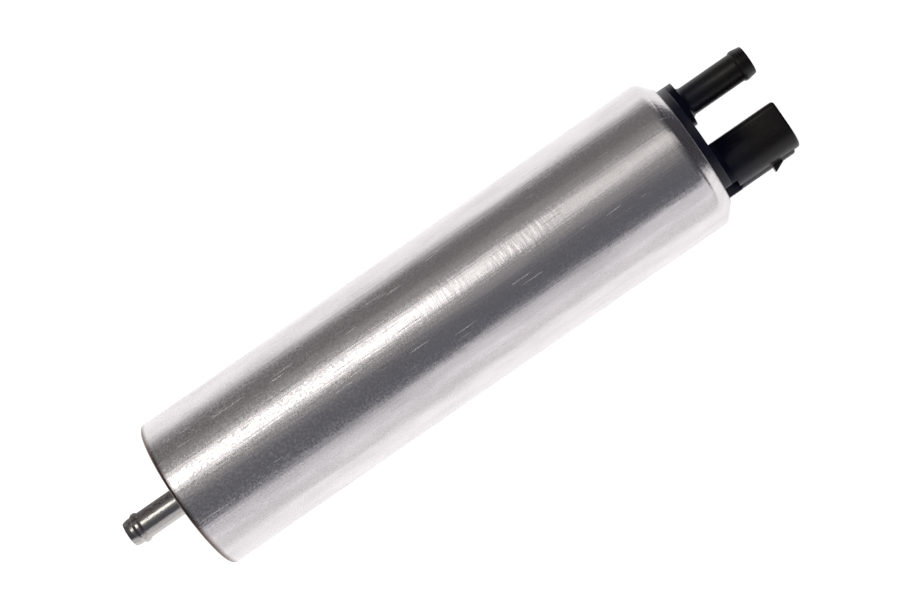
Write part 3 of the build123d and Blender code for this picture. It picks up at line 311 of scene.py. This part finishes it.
def split(tree, vector):
    """The X, Y and Z of a vector, under those names."""
    return add(tree, "ShaderNodeSeparateXYZ", {"Vector": vector}).outputs


def stretch(tree, value, low, high, start=0.0, stop=1.0):
    """Maps a value that runs from low to high onto start to stop, and holds it beyond both."""
    sockets = {"Value": value, "From Min": low, "From Max": high, "To Min": start, "To Max": stop}
    return add(tree, "ShaderNodeMapRange", sockets).outputs["Result"]


def vary(tree, noise, start, stop):
    """Spreads a noise, most of which lies between 0.3 and 0.7, over start to stop."""
    return stretch(tree, noise, 0.3, 0.7, start, stop)


def combine(tree, operation, first, second):
    """One step of arithmetic on two values."""
    return add(tree, "ShaderNodeMath", {0: first, 1: second}, operation=operation).outputs[0]


def blend(tree, kind, factor, first, second):
    """Two colours blended, as a colour. A Mix node has its colours in inputs 6 and 7 and in output 2."""
    sockets = {"Factor": factor, 6: first, 7: second}
    return add(tree, "ShaderNodeMix", sockets, data_type="RGBA", blend_type=kind).outputs[2]


def relief(tree, height, depth_mm, below=None):
    """A normal that shows that height, on top of the relief below it."""
    sockets = {"Height": height, "Strength": 1.0, "Distance": depth_mm * MM}
    if below is not None:
        sockets["Normal"] = below
    return add(tree, "ShaderNodeBump", sockets).outputs["Normal"]


def clouds(tree, place, size, detail=3.0, roughness=0.5):
    """Noise with spots of that size in millimetres along X, Y and Z."""
    spread = add(tree, "ShaderNodeMapping", {"Vector": place, "Scale": [1 / s for s in size]})
    sockets = {"Vector": spread.outputs["Vector"], "Scale": 1.0, "Detail": detail, "Roughness": roughness}
    return add(tree, "ShaderNodeTexNoise", sockets).outputs["Fac"]


def round_the_axis(tree, place):
    """Coordinates that unroll the pump: along the axis, and round it at the can's radius."""
    parts = split(tree, place)
    arc = combine(tree, "MULTIPLY", combine(tree, "ARCTAN2", parts["Z"], parts["Y"]), CAN_R_MM)
    return add(tree, "ShaderNodeCombineXYZ", {"X": parts["X"], "Y": arc}).outputs["Vector"]


def drawn_aluminium(finish):
    """Bare deep-drawn aluminium: a satin skin that mirrors the lights as soft bands along the can. Drawing
    lines and scratches along the axis break the bands up, with dull specks most towards the inlet and short
    scuffs round the can most towards the outlet. The edge in the crimp is raw and matt, and the corner at
    the inlet is stained brown."""
    material, tree, shader, place = new_material("drawn_aluminium", Metallic=1.0)
    rolled = round_the_axis(tree, place)
    parts = split(tree, place)
    along = parts["X"]
    across = add(tree, "ShaderNodeCombineXYZ", {"Y": parts["Y"], "Z": parts["Z"]}).outputs["Vector"]
    radius = add(tree, "ShaderNodeVectorMath", {0: across}, operation="LENGTH").outputs["Value"]
    speckle = clouds(tree, place, SPECKLE_MM, roughness=0.7)
    drawing = clouds(tree, rolled, DRAWING_MM, detail=4.0, roughness=0.6)
    scratch = clouds(tree, rolled, SCRATCH_MM, detail=1.0)
    rings = clouds(tree, rolled, RINGS_MM, detail=2.0)
    ring_patches = clouds(tree, rolled, RING_PATCHES_MM, detail=1.0)
    stains = clouds(tree, rolled, STAINS_MM, detail=5.0, roughness=0.65)

    dirt = combine(tree, "MULTIPLY", vary(tree, stains, 0.84, 1.0), vary(tree, speckle, 0.9, 1.0))
    bare = blend(tree, "MULTIPLY", 1.0, tuple(finish.can_colour), dirt)
    stain_start, stain_stop = (CAN_START_MM + length for length in STAIN_LENGTH_MM)
    end_zone = stretch(tree, along, stain_start, stain_stop, STAIN_STRENGTH, 0.0)
    outer_zone = stretch(tree, radius, CAN_R_MM - STAIN_DEPTH_MM[1], CAN_R_MM - STAIN_DEPTH_MM[0])
    corner = combine(tree, "MULTIPLY", end_zone, outer_zone)
    tree.links.new(blend(tree, "MIX", corner, bare, hex_colour(STAIN_COLOUR)), shader.inputs["Base Color"])

    towards_inlet = stretch(tree, along, *SPECK_ZONE_MM, 1.0, 0.35)
    dull = vary(tree, stains, finish.can_roughness + 0.05, finish.can_roughness - 0.05)
    speck = combine(tree, "MULTIPLY", stretch(tree, speckle, 0.4, 0.65, -0.05, 0.22), towards_inlet)
    specks = combine(tree, "ADD", speck, dull)
    raw_start, raw_full = (CAN_END_MM - length for length in RAW_EDGE_MM)
    edge = stretch(tree, along, raw_start, raw_full, 0.0, RAW_EDGE_ROUGHER)
    tree.links.new(combine(tree, "ADD", specks, edge), shader.inputs["Roughness"])

    towards_outlet = stretch(tree, along, *SCUFF_ZONE_MM, 0.3, 1.0)
    rubbing = combine(tree, "MULTIPLY", stretch(tree, ring_patches, 0.4, 0.6, 0.1, 1.0), towards_outlet)
    lines = relief(tree, drawing, DRAWING_DEPTH_MM)
    cut = relief(tree, stretch(tree, scratch, *SCRATCH_CUT, 1.0, 0.0), SCRATCH_DEPTH_MM, lines)
    rubbed = relief(tree, combine(tree, "MULTIPLY", rings, rubbing), RING_DEPTH_MM, cut)
    pits = combine(tree, "MULTIPLY", speckle, towards_inlet)
    tree.links.new(relief(tree, pits, PIT_DEPTH_MM, rubbed), shader.inputs["Normal"])
    return material


def bright_plated_steel(finish):
    """Nickel-plated steel tube: a bright skin over faint lines from drawing and rolling the bead, with
    painted shade along its +Y side, where it is dark brown, duller and barely metallic."""
    material, tree, shader, place = new_material("bright_plated_steel")
    turning = clouds(tree, round_the_axis(tree, place), (0.25, 12.0, 1.0), detail=2.0)
    mottle = clouds(tree, place, (1.2, 0.6, 0.6), detail=4.0, roughness=0.7)
    wander = vary(tree, mottle, -SIDE_SHADE_WANDER_MM, SIDE_SHADE_WANDER_MM)
    reach = combine(tree, "ADD", split(tree, place)["Y"], wander)
    # Painted shade on the +Y side: the colour turns dark brown there, and the surface duller and barely
    # metallic
    side_shade = stretch(tree, reach, *SIDE_SHADE_MM, 0.0, SIDE_SHADE_STRENGTH)
    colour = blend(tree, "MIX", side_shade, tuple(finish.nipple_colour), hex_colour(SIDE_SHADE_COLOUR))
    tree.links.new(colour, shader.inputs["Base Color"])
    tree.links.new(stretch(tree, side_shade, 0.0, 1.0, 1.0, 0.1), shader.inputs["Metallic"])
    dull = combine(tree, "MULTIPLY", side_shade, 0.35)
    tree.links.new(combine(tree, "ADD", vary(tree, mottle, 0.1, 0.22), dull), shader.inputs["Roughness"])
    dents = relief(tree, mottle, 0.035)
    tree.links.new(relief(tree, turning, 0.004, dents), shader.inputs["Normal"])
    return material


def black_nylon(finish):
    """Glass-filled nylon, moulded: black with the fine flow grain of the fibres. Its base is painted darker
    and bluish, as painted shade next to the can, and the spigot and the socket have a brown cast."""
    gloss = {"IOR": 1.53, "Specular IOR Level": 0.3}
    material, tree, shader, place = new_material("black_nylon", **gloss)
    flow = clouds(tree, place, (2.5, 0.6, 0.6), detail=4.0)
    grain = clouds(tree, place, (0.3, 0.3, 0.3), detail=2.0)
    fade_start, fade_stop = (CAN_END_MM + length for length in BASE_SHADE_FADE_MM)
    past_base = stretch(tree, split(tree, place)["X"], fade_start, fade_stop)
    # The base colour is painted shade: darker and bluish next to the can, fading into the cap's colour
    cast = blend(tree, "MIX", past_base, hex_colour(BASE_SHADE_COLOUR), tuple(finish.cap_colour))
    colour = blend(tree, "MULTIPLY", 1.0, cast, vary(tree, flow, 0.7, 1.3))
    tree.links.new(colour, shader.inputs["Base Color"])
    rough = vary(tree, flow, finish.cap_roughness - 0.06, finish.cap_roughness + 0.06)
    tree.links.new(rough, shader.inputs["Roughness"])
    tree.links.new(relief(tree, grain, 0.006), shader.inputs["Normal"])
    return material


def worked_surface(name, code, metallic, roughness, lay, depth_mm, shading):
    """A surface whose fine marks have the size of lay along X, Y and Z, in mm. Its colour varies with them
    and with larger patches, by that shading to both sides."""
    material, tree, shader, place = new_material(name, Metallic=metallic)
    marks = clouds(tree, place, lay, detail=3.0)
    patches = clouds(tree, place, (4.0, 4.0, 4.0), detail=2.0)
    mixed = combine(tree, "ADD", marks, patches)
    shade = stretch(tree, mixed, 0.7, 1.3, 1 - shading, 1 + shading)
    colour = blend(tree, "MULTIPLY", 1.0, hex_colour(code), shade)
    tree.links.new(colour, shader.inputs["Base Color"])
    rough = vary(tree, patches, roughness * 0.85, roughness * 1.15)
    tree.links.new(rough, shader.inputs["Roughness"])
    tree.links.new(relief(tree, marks, depth_mm), shader.inputs["Normal"])
    return material


def new_object(name, data):
    """An object at the origin, linked into the scene."""
    item = bpy.data.objects.new(name, data)
    bpy.context.scene.collection.objects.link(item)
    return item


def dress(piece, material):
    """Gives a piece its one material."""
    piece.data.materials.clear()
    piece.data.materials.append(material)


def settle(piece, body, slot, *nodes):
    """Puts a piece on its body in place of the CAD nodes that it stands for."""
    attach(piece, body)
    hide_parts(*nodes)


def rounded_profile(corners, run_mm=None):
    """Points along a closed outline of (x, radius, rounding) corners, all in mm. Each rounding becomes an
    arc that is tangent to both its sides, and a straight run is divided where run_mm is given."""
    corner = np.array([(c[0], c[1]) for c in corners], float)
    rounding = np.array([c[2] if len(c) > 2 else 0.0 for c in corners])
    to_last = np.roll(corner, 1, axis=0) - corner
    to_next = np.roll(corner, -1, axis=0) - corner
    to_last /= np.linalg.norm(to_last, axis=1)[:, None]
    to_next /= np.linalg.norm(to_next, axis=1)[:, None]
    half = np.arccos(np.clip((to_last * to_next).sum(1), -1, 1)) / 2
    points = []
    for i, size in enumerate(rounding):
        if size == 0:
            points.append(corner[i : i + 1])
            continue
        inward = to_last[i] + to_next[i]
        centre = corner[i] + inward / np.linalg.norm(inward) * size / np.sin(half[i])
        first = corner[i] + to_last[i] * size / np.tan(half[i]) - centre
        last = corner[i] + to_next[i] * size / np.tan(half[i]) - centre
        count = ARC_POINTS + int(ARC_POINTS_MORE * (np.pi / 2 - half[i]) / (np.pi / 4))
        t = np.linspace(0, 1, count)[:, None]
        turn = np.pi - 2 * half[i]
        points.append(centre + (first * np.sin((1 - t) * turn) + last * np.sin(t * turn)) / np.sin(turn))
    ring = np.concatenate(points)
    if run_mm is None:
        return ring
    runs = []
    for start, end in zip(ring, np.roll(ring, -1, axis=0)):
        count = max(1, int(np.ceil(np.linalg.norm(end - start) / run_mm)))
        runs.append(start + (end - start) * np.arange(count)[:, None] / count)
    return np.concatenate(runs)


def make_mesh(name, points_mm, quads):
    """A smooth-shaded mesh object at the origin, its faces turned outwards."""
    points = points_mm * MM
    a, b, c, d = (points[quads[:, i]] for i in range(4))
    volume = (np.cross(a, b) * c).sum() + (np.cross(a, c) * d).sum()
    if volume < 0:
        quads = quads[:, ::-1]
    mesh = bpy.data.meshes.new(name)
    mesh.from_pydata(points.tolist(), [], quads.tolist())
    mesh.shade_smooth()
    mesh.set_sharp_from_angle(angle=TURNED_SHARP)
    return new_object(name, mesh)


def turned_piece(name, profile, segments, swell=None):
    """A closed surface of revolution: the point at profile place (x, r) and angle a lies at
    (x, r cos a, r sin a), with r changed by swell(x, a, r) in millimetres."""
    angle = np.linspace(0, TURN, segments, endpoint=False)
    x = np.repeat(profile[:, 0:1], segments, axis=1)
    r = np.repeat(profile[:, 1:2], segments, axis=1)
    if swell is not None:
        r = r + swell(x, angle[None, :], r)
    points = np.stack([x, r * np.cos(angle), r * np.sin(angle)], axis=2).reshape(-1, 3)
    rows = np.arange(len(profile))[:, None]
    columns = np.arange(segments)[None, :]
    next_row = (rows + 1) % len(profile)
    next_column = (columns + 1) % segments
    quads = np.stack(
        [
            rows * segments + columns,
            rows * segments + next_column,
            next_row * segments + next_column,
            next_row * segments + columns,
        ],
        axis=2,
    ).reshape(-1, 4)
    return make_mesh(name, points, quads)


def smooth_copy(node, name):
    """A copy of a CAD piece with its loose triangles joined and its curved faces shaded smooth."""
    piece = new_object(name, NODES[node].data.copy())
    mesh = piece.data
    work = bmesh.new()
    work.from_mesh(mesh)
    bmesh.ops.remove_doubles(work, verts=work.verts, dist=WELD_MM * MM)
    work.to_mesh(mesh)
    work.free()
    mesh.shade_smooth()
    mesh.set_sharp_from_angle(angle=CAD_SHARP)
    return piece


def crimp_x(radius, inset):
    """Where the can's bent-in edge, or a face that far inside it, has that radius: a cone whose outer tip is
    a corner with rounding e, so that it stands e (cos a + sin a - 1) past the rim."""
    tip = CAN_END_MM + CAN_EDGE_MM * (cos(CRIMP_ANGLE) + sin(CRIMP_ANGLE) - 1)
    return tip - (radius - CRIMP_TIP_R_MM) / tan(CRIMP_ANGLE) - inset / sin(CRIMP_ANGLE)


def can_waves(x, angle, r):
    """The can is not a perfect cylinder: long waves along it and round it, of two hundredths of a millimetre
    from crest to trough, bend the mirrored bands. They only go inwards, and fade out at both ends and
    inside."""
    outside = (r > CAN_R_MM - CAN_WALL_MM / 2).astype(float)
    past_start = np.clip((x - CAN_START_MM - WAVE_PLAIN_MM[0]) / WAVE_FADE_MM, 0, 1)
    before_end = np.clip((CAN_END_MM - x - WAVE_PLAIN_MM[1]) / WAVE_FADE_MM, 0, 1)
    waves = WAVE_MM * np.sin(x / 9.0 + 2 * np.sin(angle * 2)) * np.sin(angle * 3 + x / 31.0)
    return (waves - WAVE_MM) * outside * (past_start * before_end)


class PUMP_OT_can(bpy.types.Operator):
    """Builds the drawn and crimped can"""

    bl_idname = "pump.can"
    bl_label = "Can"

    def execute(self, context):
        floor = CAN_START_MM + CAN_BOTTOM_MM
        bore = CAN_R_MM - CAN_WALL_MM
        profile = rounded_profile(
            [
                (CAN_START_MM, NIPPLE_HOLE_R_MM),
                (CAN_START_MM, CAN_R_MM, CAN_CORNER_MM),
                (crimp_x(CAN_R_MM, 0), CAN_R_MM, CRIMP_BEND_MM),
                (crimp_x(CRIMP_TIP_R_MM, 0), CRIMP_TIP_R_MM, CAN_EDGE_MM),
                (crimp_x(CRIMP_OPENING_R_MM, CAN_WALL_MM), CRIMP_OPENING_R_MM, CAN_EDGE_MM),
                (crimp_x(bore, CAN_WALL_MM), bore, CRIMP_BEND_MM - CAN_WALL_MM),
                (floor, bore),
                (floor, NIPPLE_HOLE_R_MM),
            ],
            CAN_RUN_MM,
        )
        can = turned_piece("drawn_can", profile, CAN_SEGMENTS, can_waves)
        dress(can, drawn_aluminium(context.scene.pump_finish))
        settle(can, "housing", "satin_aluminium", "can")
        return {"FINISHED"}


class PUMP_OT_inlet(bpy.types.Operator):
    """Builds the beaded inlet nipple"""

    bl_idname = "pump.inlet"
    bl_label = "Inlet nipple"

    def execute(self, context):
        bead = NIPPLE_TIP_MM + NIPPLE_BEAD_SETBACK_MM
        half = NIPPLE_BEAD_WIDTH_MM / 2
        land = half / 3
        can_floor = CAN_START_MM + CAN_BOTTOM_MM
        profile = rounded_profile(
            [
                (NIPPLE_TIP_MM, NIPPLE_BORE_R_MM, NIPPLE_TIP_EDGES_MM[0]),
                (NIPPLE_TIP_MM, NIPPLE_TIP_R_MM, NIPPLE_TIP_EDGES_MM[1]),
                (NIPPLE_TIP_MM + NIPPLE_TIP_TAPER_MM, NIPPLE_R_MM, NIPPLE_TIP_BLEND_MM),
                (bead - half, NIPPLE_R_MM, NIPPLE_BEAD_FOOT_MM),
                (bead - land, NIPPLE_BEAD_R_MM, NIPPLE_BEAD_CREST_MM),
                (bead + land, NIPPLE_BEAD_R_MM, NIPPLE_BEAD_CREST_MM),
                (bead + half, NIPPLE_R_MM, NIPPLE_BEAD_FOOT_MM),
                (can_floor, NIPPLE_R_MM),
                (can_floor, NIPPLE_FLANGE_R_MM),
                (NIPPLE_END_MM, NIPPLE_FLANGE_R_MM, NIPPLE_FLANGE_EDGES_MM[0]),
                (NIPPLE_END_MM, NIPPLE_BORE_R_MM, NIPPLE_FLANGE_EDGES_MM[1]),
            ]
        )
        nipple = turned_piece("beaded_nipple", profile, NIPPLE_SEGMENTS)
        dress(nipple, bright_plated_steel(context.scene.pump_finish))
        settle(nipple, "housing", "plated_steel", "inlet_nipple")
        return {"FINISHED"}


class PUMP_OT_outlet(bpy.types.Operator):
    """Builds the outlet cap and its terminals"""

    bl_idname = "pump.outlet"
    bl_label = "Outlet cap"

    def execute(self, context):
        nylon = black_nylon(context.scene.pump_finish)
        for node in ("outlet_cap", "outlet_spigot", "plug_shroud"):
            piece = smooth_copy(node, node + "_moulding")
            dress(piece, nylon)
            settle(piece, "housing", "black_plastic", node)
        tin = worked_surface("tin_plate", "C9C4B8", 1.0, 0.22, (0.3, 3.0, 3.0), 0.01, 0.06)
        for name in ("terminal_a", "terminal_b"):
            blade = smooth_copy(name, name + "_blade")
            dress(blade, tin)
            settle(blade, "housing", "tinned_brass", name)
        return {"FINISHED"}


INNER_FINISHES = {
    # name: (colour, metallic, roughness, marks along X, Y and Z in mm, depth in mm, shading, nodes)
    "nitrile_rubber": ("161617", 0.0, 0.6, (0.3, 0.3, 0.3), 0.02, 0.1,
                       ("inlet_seal", "pump_seal", "cap_seal")),
    "spring_wire": ("B4B3B1", 1.0, 0.3, (0.4, 0.2, 0.2), 0.01, 0.08,
                    ("disc_spring", "relief_spring", "brush_spring_a", "brush_spring_b",
                     "check_spring", "magnet_clips")),
    "white_acetal": ("DEDBD2", 0.0, 0.4, (0.6, 0.6, 0.6), 0.01, 0.03,
                     ("inlet_strainer", "shaft_sleeves", "check_poppet")),
    "turned_aluminium": ("D6D6D8", 1.0, 0.3, (0.2, 5.0, 5.0), 0.015, 0.05,
                         ("pump_cover", "outlet_plate")),
    "ground_steel": ("BDBDBE", 1.0, 0.2, (0.2, 6.0, 6.0), 0.008, 0.05,
                     ("relief_ball", "shaft", "pump_screws", "pump_ring")),
    "sintered_iron": ("8C8C8E", 1.0, 0.45, (0.25, 0.25, 0.25), 0.03, 0.15,
                      ("outer_rotor", "inner_rotor")),
    "turned_brass": ("C8A45C", 1.0, 0.25, (0.2, 4.0, 4.0), 0.01, 0.05, ("relief_plug", "check_seat")),
    "oiled_bronze": ("9C7243", 1.0, 0.5, (0.25, 0.25, 0.25), 0.03, 0.15, ("front_bush", "rear_bush")),
    "zinc_plated_tube": ("B9B9B4", 1.0, 0.35, (8.0, 0.5, 0.5), 0.01, 0.08, ("motor_yoke",)),
    "ground_ferrite": ("37373A", 0.1, 0.5, (0.3, 3.0, 3.0), 0.015, 0.12,
                       ("magnet_a", "magnet_b", "choke_core_a", "choke_core_b")),
    "stacked_laminations": ("77777B", 1.0, 0.45, (0.5, 20.0, 20.0), 0.04, 0.15, ("armature_core",)),
    "red_fibre": ("8C2E1E", 0.0, 0.55, (0.4, 0.8, 0.8), 0.02, 0.12, ("core_insulators",)),
    "enamelled_wire": ("A8502A", 0.6, 0.3, (4.0, 0.45, 0.45), 0.06, 0.15,
                       ("armature_windings", "choke_coil_a", "choke_coil_b")),
    "brown_phenolic": ("4A2C1E", 0.0, 0.45, (0.5, 0.5, 0.5), 0.01, 0.1, ("commutator_hub",)),
    "pressed_carbon": ("2A2A2D", 0.1, 0.5, (0.2, 0.2, 0.2), 0.02, 0.15,
                       ("commutator_segments", "brush_a", "brush_b")),
    "grey_nylon": ("6E6E71", 0.0, 0.5, (0.5, 0.5, 0.5), 0.015, 0.08, ("brush_carrier",)),
    "tinned_braid": ("B5AEA4", 1.0, 0.4, (0.3, 0.15, 0.15), 0.06, 0.2, ("brush_lead_a", "brush_lead_b")),
}


def give_way(joint):
    """Copies of the springs and leads that a joint's part presses, in place of their CAD pieces. A spring's
    copy goes on the joint's parent body with a mesh of its own, and a lead's copy stays where it lies."""
    for soft in joint.get("deforming_nodes", []):
        node = soft["node"]
        if soft["mode"] == "flex":
            lead = smooth_copy(node, node + "_braid")
            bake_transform(lead)
            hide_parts(node)
        else:
            spring = smooth_copy(node, node + "_coil")
            settle(spring, joint["parent"], "spring_steel", node)
            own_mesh(spring)


class PUMP_OT_inside(bpy.types.Operator):
    """Gives the pieces inside the can their finishes, and swaps the springs and leads for copies"""

    bl_idname = "pump.inside"
    bl_label = "Inner pieces"

    def execute(self, context):
        for name, (code, metallic, roughness, lay, depth, shading, nodes) in INNER_FINISHES.items():
            material = worked_surface(name, code, metallic, roughness, lay, depth, shading)
            for node in nodes:
                dress(NODES[node], material)
        for joint in frame["joints"]:
            give_way(joint)
        return {"FINISHED"}


def softbox(name, angle, spread, distance, ends, radiance, tint):
    """A rectangular light that runs along the pump's axis between two ends, that many degrees round from +Z
    towards +Y, and that many degrees wide as the axis sees it. The camera doesn't see it."""
    light = bpy.data.lights.new(name, "AREA")
    light.shape = "RECTANGLE"
    light.size = ends[1] - ends[0]
    light.size_y = 2 * distance * tan(radians(spread / 2))
    light.energy = radiance * pi * light.size * light.size_y
    light.color = hex_colour(tint)[:3]
    turn = radians(angle)
    lamp = new_object(name, light)
    lamp.location = ((ends[0] + ends[1]) / 2, distance * sin(turn), distance * cos(turn))
    lamp.rotation_euler = (-turn, 0, 0)
    lamp.visible_camera = False


def card(name, corners, material):
    """A flat piece with four corners and one material."""
    mesh = bpy.data.meshes.new(name)
    mesh.from_pydata(corners, [], [(0, 1, 2, 3)])
    piece = new_object(name, mesh)
    dress(piece, material)
    return piece


def end_flag():
    """A dark grey card past the outlet end, which the camera doesn't see and the crimp mirrors."""
    (y0, y1), z0, z1 = FLAG_SIDES, CAN_LOW.z, FLAG_TOP
    corners = [(FLAG_X, y0, z0), (FLAG_X, y1, z0), (FLAG_X, y1, z1), (FLAG_X, y0, z1)]
    grey = {"Base Color": hex_colour(FLAG_COLOUR), "Roughness": 0.9}
    material, _, _, _ = new_material("grey_card", **grey)
    flag = card("end_flag", corners, material)
    flag.visible_camera = False


def dim_room(stage):
    """The dim room round the lights: warmer and brighter on the spigot's side, and darker past both ends."""
    world = bpy.data.worlds.new("dim_room")
    world.use_nodes = True
    tree = world.node_tree
    way = split(tree, add(tree, "ShaderNodeTexCoord").outputs["Generated"])
    side = stretch(tree, way["Y"], *ROOM_SIDES)
    colour = blend(tree, "MIX", side, hex_colour(ROOM_COLOURS[0]), hex_colour(ROOM_COLOURS[1]))
    length = add(tree, "ShaderNodeMath", {0: way["X"]}, operation="ABSOLUTE").outputs[0]
    light = stretch(tree, length, *ROOM_ENDS, stage.surround, stage.surround * ROOM_END_SHARE)
    background = tree.nodes["Background"]
    tree.links.new(colour, background.inputs["Color"])
    tree.links.new(light, background.inputs["Strength"])
    return world


def opal_acrylic(stage):
    """Back-lit opal acrylic: its panel glows white under the pump, and the glow fades beyond the panel."""
    white = {"Base Color": hex_colour(ACRYLIC_COLOUR), "Emission Color": hex_colour("FFFFFF")}
    material, tree, shader, place = new_material("opal_acrylic", Roughness=0.6, **white)
    middle = (*PANEL_MIDDLE_MM, 0)
    moved = add(tree, "ShaderNodeVectorMath", {0: place, 1: middle}, operation="SUBTRACT").outputs["Vector"]
    shrink = (1 / PANEL_HALF_MM[0], 1 / PANEL_HALF_MM[1], 0)
    turned = add(
        tree, "ShaderNodeMapping", {"Vector": moved, "Rotation": (0, 0, stage.roll), "Scale": shrink}
    ).outputs["Vector"]
    reach = add(tree, "ShaderNodeVectorMath", {0: turned}, operation="LENGTH").outputs["Value"]
    glow = add(
        tree, "ShaderNodeMapRange",
        {"Value": reach, "From Min": 1.0, "From Max": PANEL_FADE, "To Min": stage.table_glow,
         "To Max": stage.far_glow},
        interpolation_type="SMOOTHSTEP",
    ).outputs["Result"]
    tree.links.new(glow, shader.inputs["Emission Strength"])
    return material


def camera_place(stage):
    """The camera's turn and place: above the pump, rolled so that the axis rises to the right."""
    along = Vector((cos(stage.tilt), 0, -sin(stage.tilt)))
    side = Vector((0, 1, 0))
    back = Vector((sin(stage.tilt), 0, cos(stage.tilt)))
    right = along * cos(stage.roll) - side * sin(stage.roll)
    up = along * sin(stage.roll) + side * cos(stage.roll)
    turn = Matrix((right, up, back)).transposed().to_4x4()
    return Matrix.Translation(Vector(stage.aim) + back * stage.distance) @ turn


class PUMP_OT_stage(bpy.types.Operator):
    """Builds the table, the lights and the camera"""

    bl_idname = "pump.stage"
    bl_label = "Stage"

    def execute(self, context):
        scene = context.scene
        stage = scene.pump_stage
        half, z = TABLE_HALF, CAN_LOW.z
        corners = [(-half, -half, z), (half, -half, z), (half, half, z), (-half, half, z)]
        table = card("table", corners, opal_acrylic(stage))

        for box in SOFTBOXES:
            softbox(*box)
        scene.world = dim_room(stage)
        end_flag()

        lens = bpy.data.cameras.new("camera")
        lens.lens = stage.lens
        lens.sensor_width = SENSOR_WIDTH_MM
        lens.clip_end = CAMERA_REACH
        camera = new_object("camera", lens)
        camera.matrix_world = camera_place(stage)
        scene.camera = camera
        scene.view_settings.view_transform = "Standard"
        return {"FINISHED"}


class PUMP_PT_panel(bpy.types.Panel):
    """The pump's colours, stage and pieces"""

    bl_idname = "PUMP_PT_panel"
    bl_label = "Fuel lift pump"
    bl_space_type = "VIEW_3D"
    bl_region_type = "UI"
    bl_category = "Pump"

    def draw(self, context):
        layout = self.layout
        for group in (context.scene.pump_finish, context.scene.pump_stage):
            for name in group.bl_rna.properties.keys():
                if name not in ("rna_type", "name"):
                    layout.prop(group, name)
        for operator in OPERATORS:
            layout.operator(operator.bl_idname)


OPERATORS = (PUMP_OT_can, PUMP_OT_inlet, PUMP_OT_outlet, PUMP_OT_inside, PUMP_OT_stage)
CLASSES = (PumpFinish, PumpStage, *OPERATORS, PUMP_PT_panel)


def register():
    for item in CLASSES:
        bpy.utils.register_class(item)
    bpy.types.Scene.pump_finish = PointerProperty(type=PumpFinish)
    bpy.types.Scene.pump_stage = PointerProperty(type=PumpStage)


def unregister():
    del bpy.types.Scene.pump_stage
    del bpy.types.Scene.pump_finish
    for item in reversed(CLASSES):
        bpy.utils.unregister_class(item)


def main():
    register()
    bpy.ops.pump.can()
    bpy.ops.pump.inlet()
    bpy.ops.pump.outlet()
    bpy.ops.pump.inside()
    bpy.ops.pump.stage()


if __name__ == "__main__":
    main()
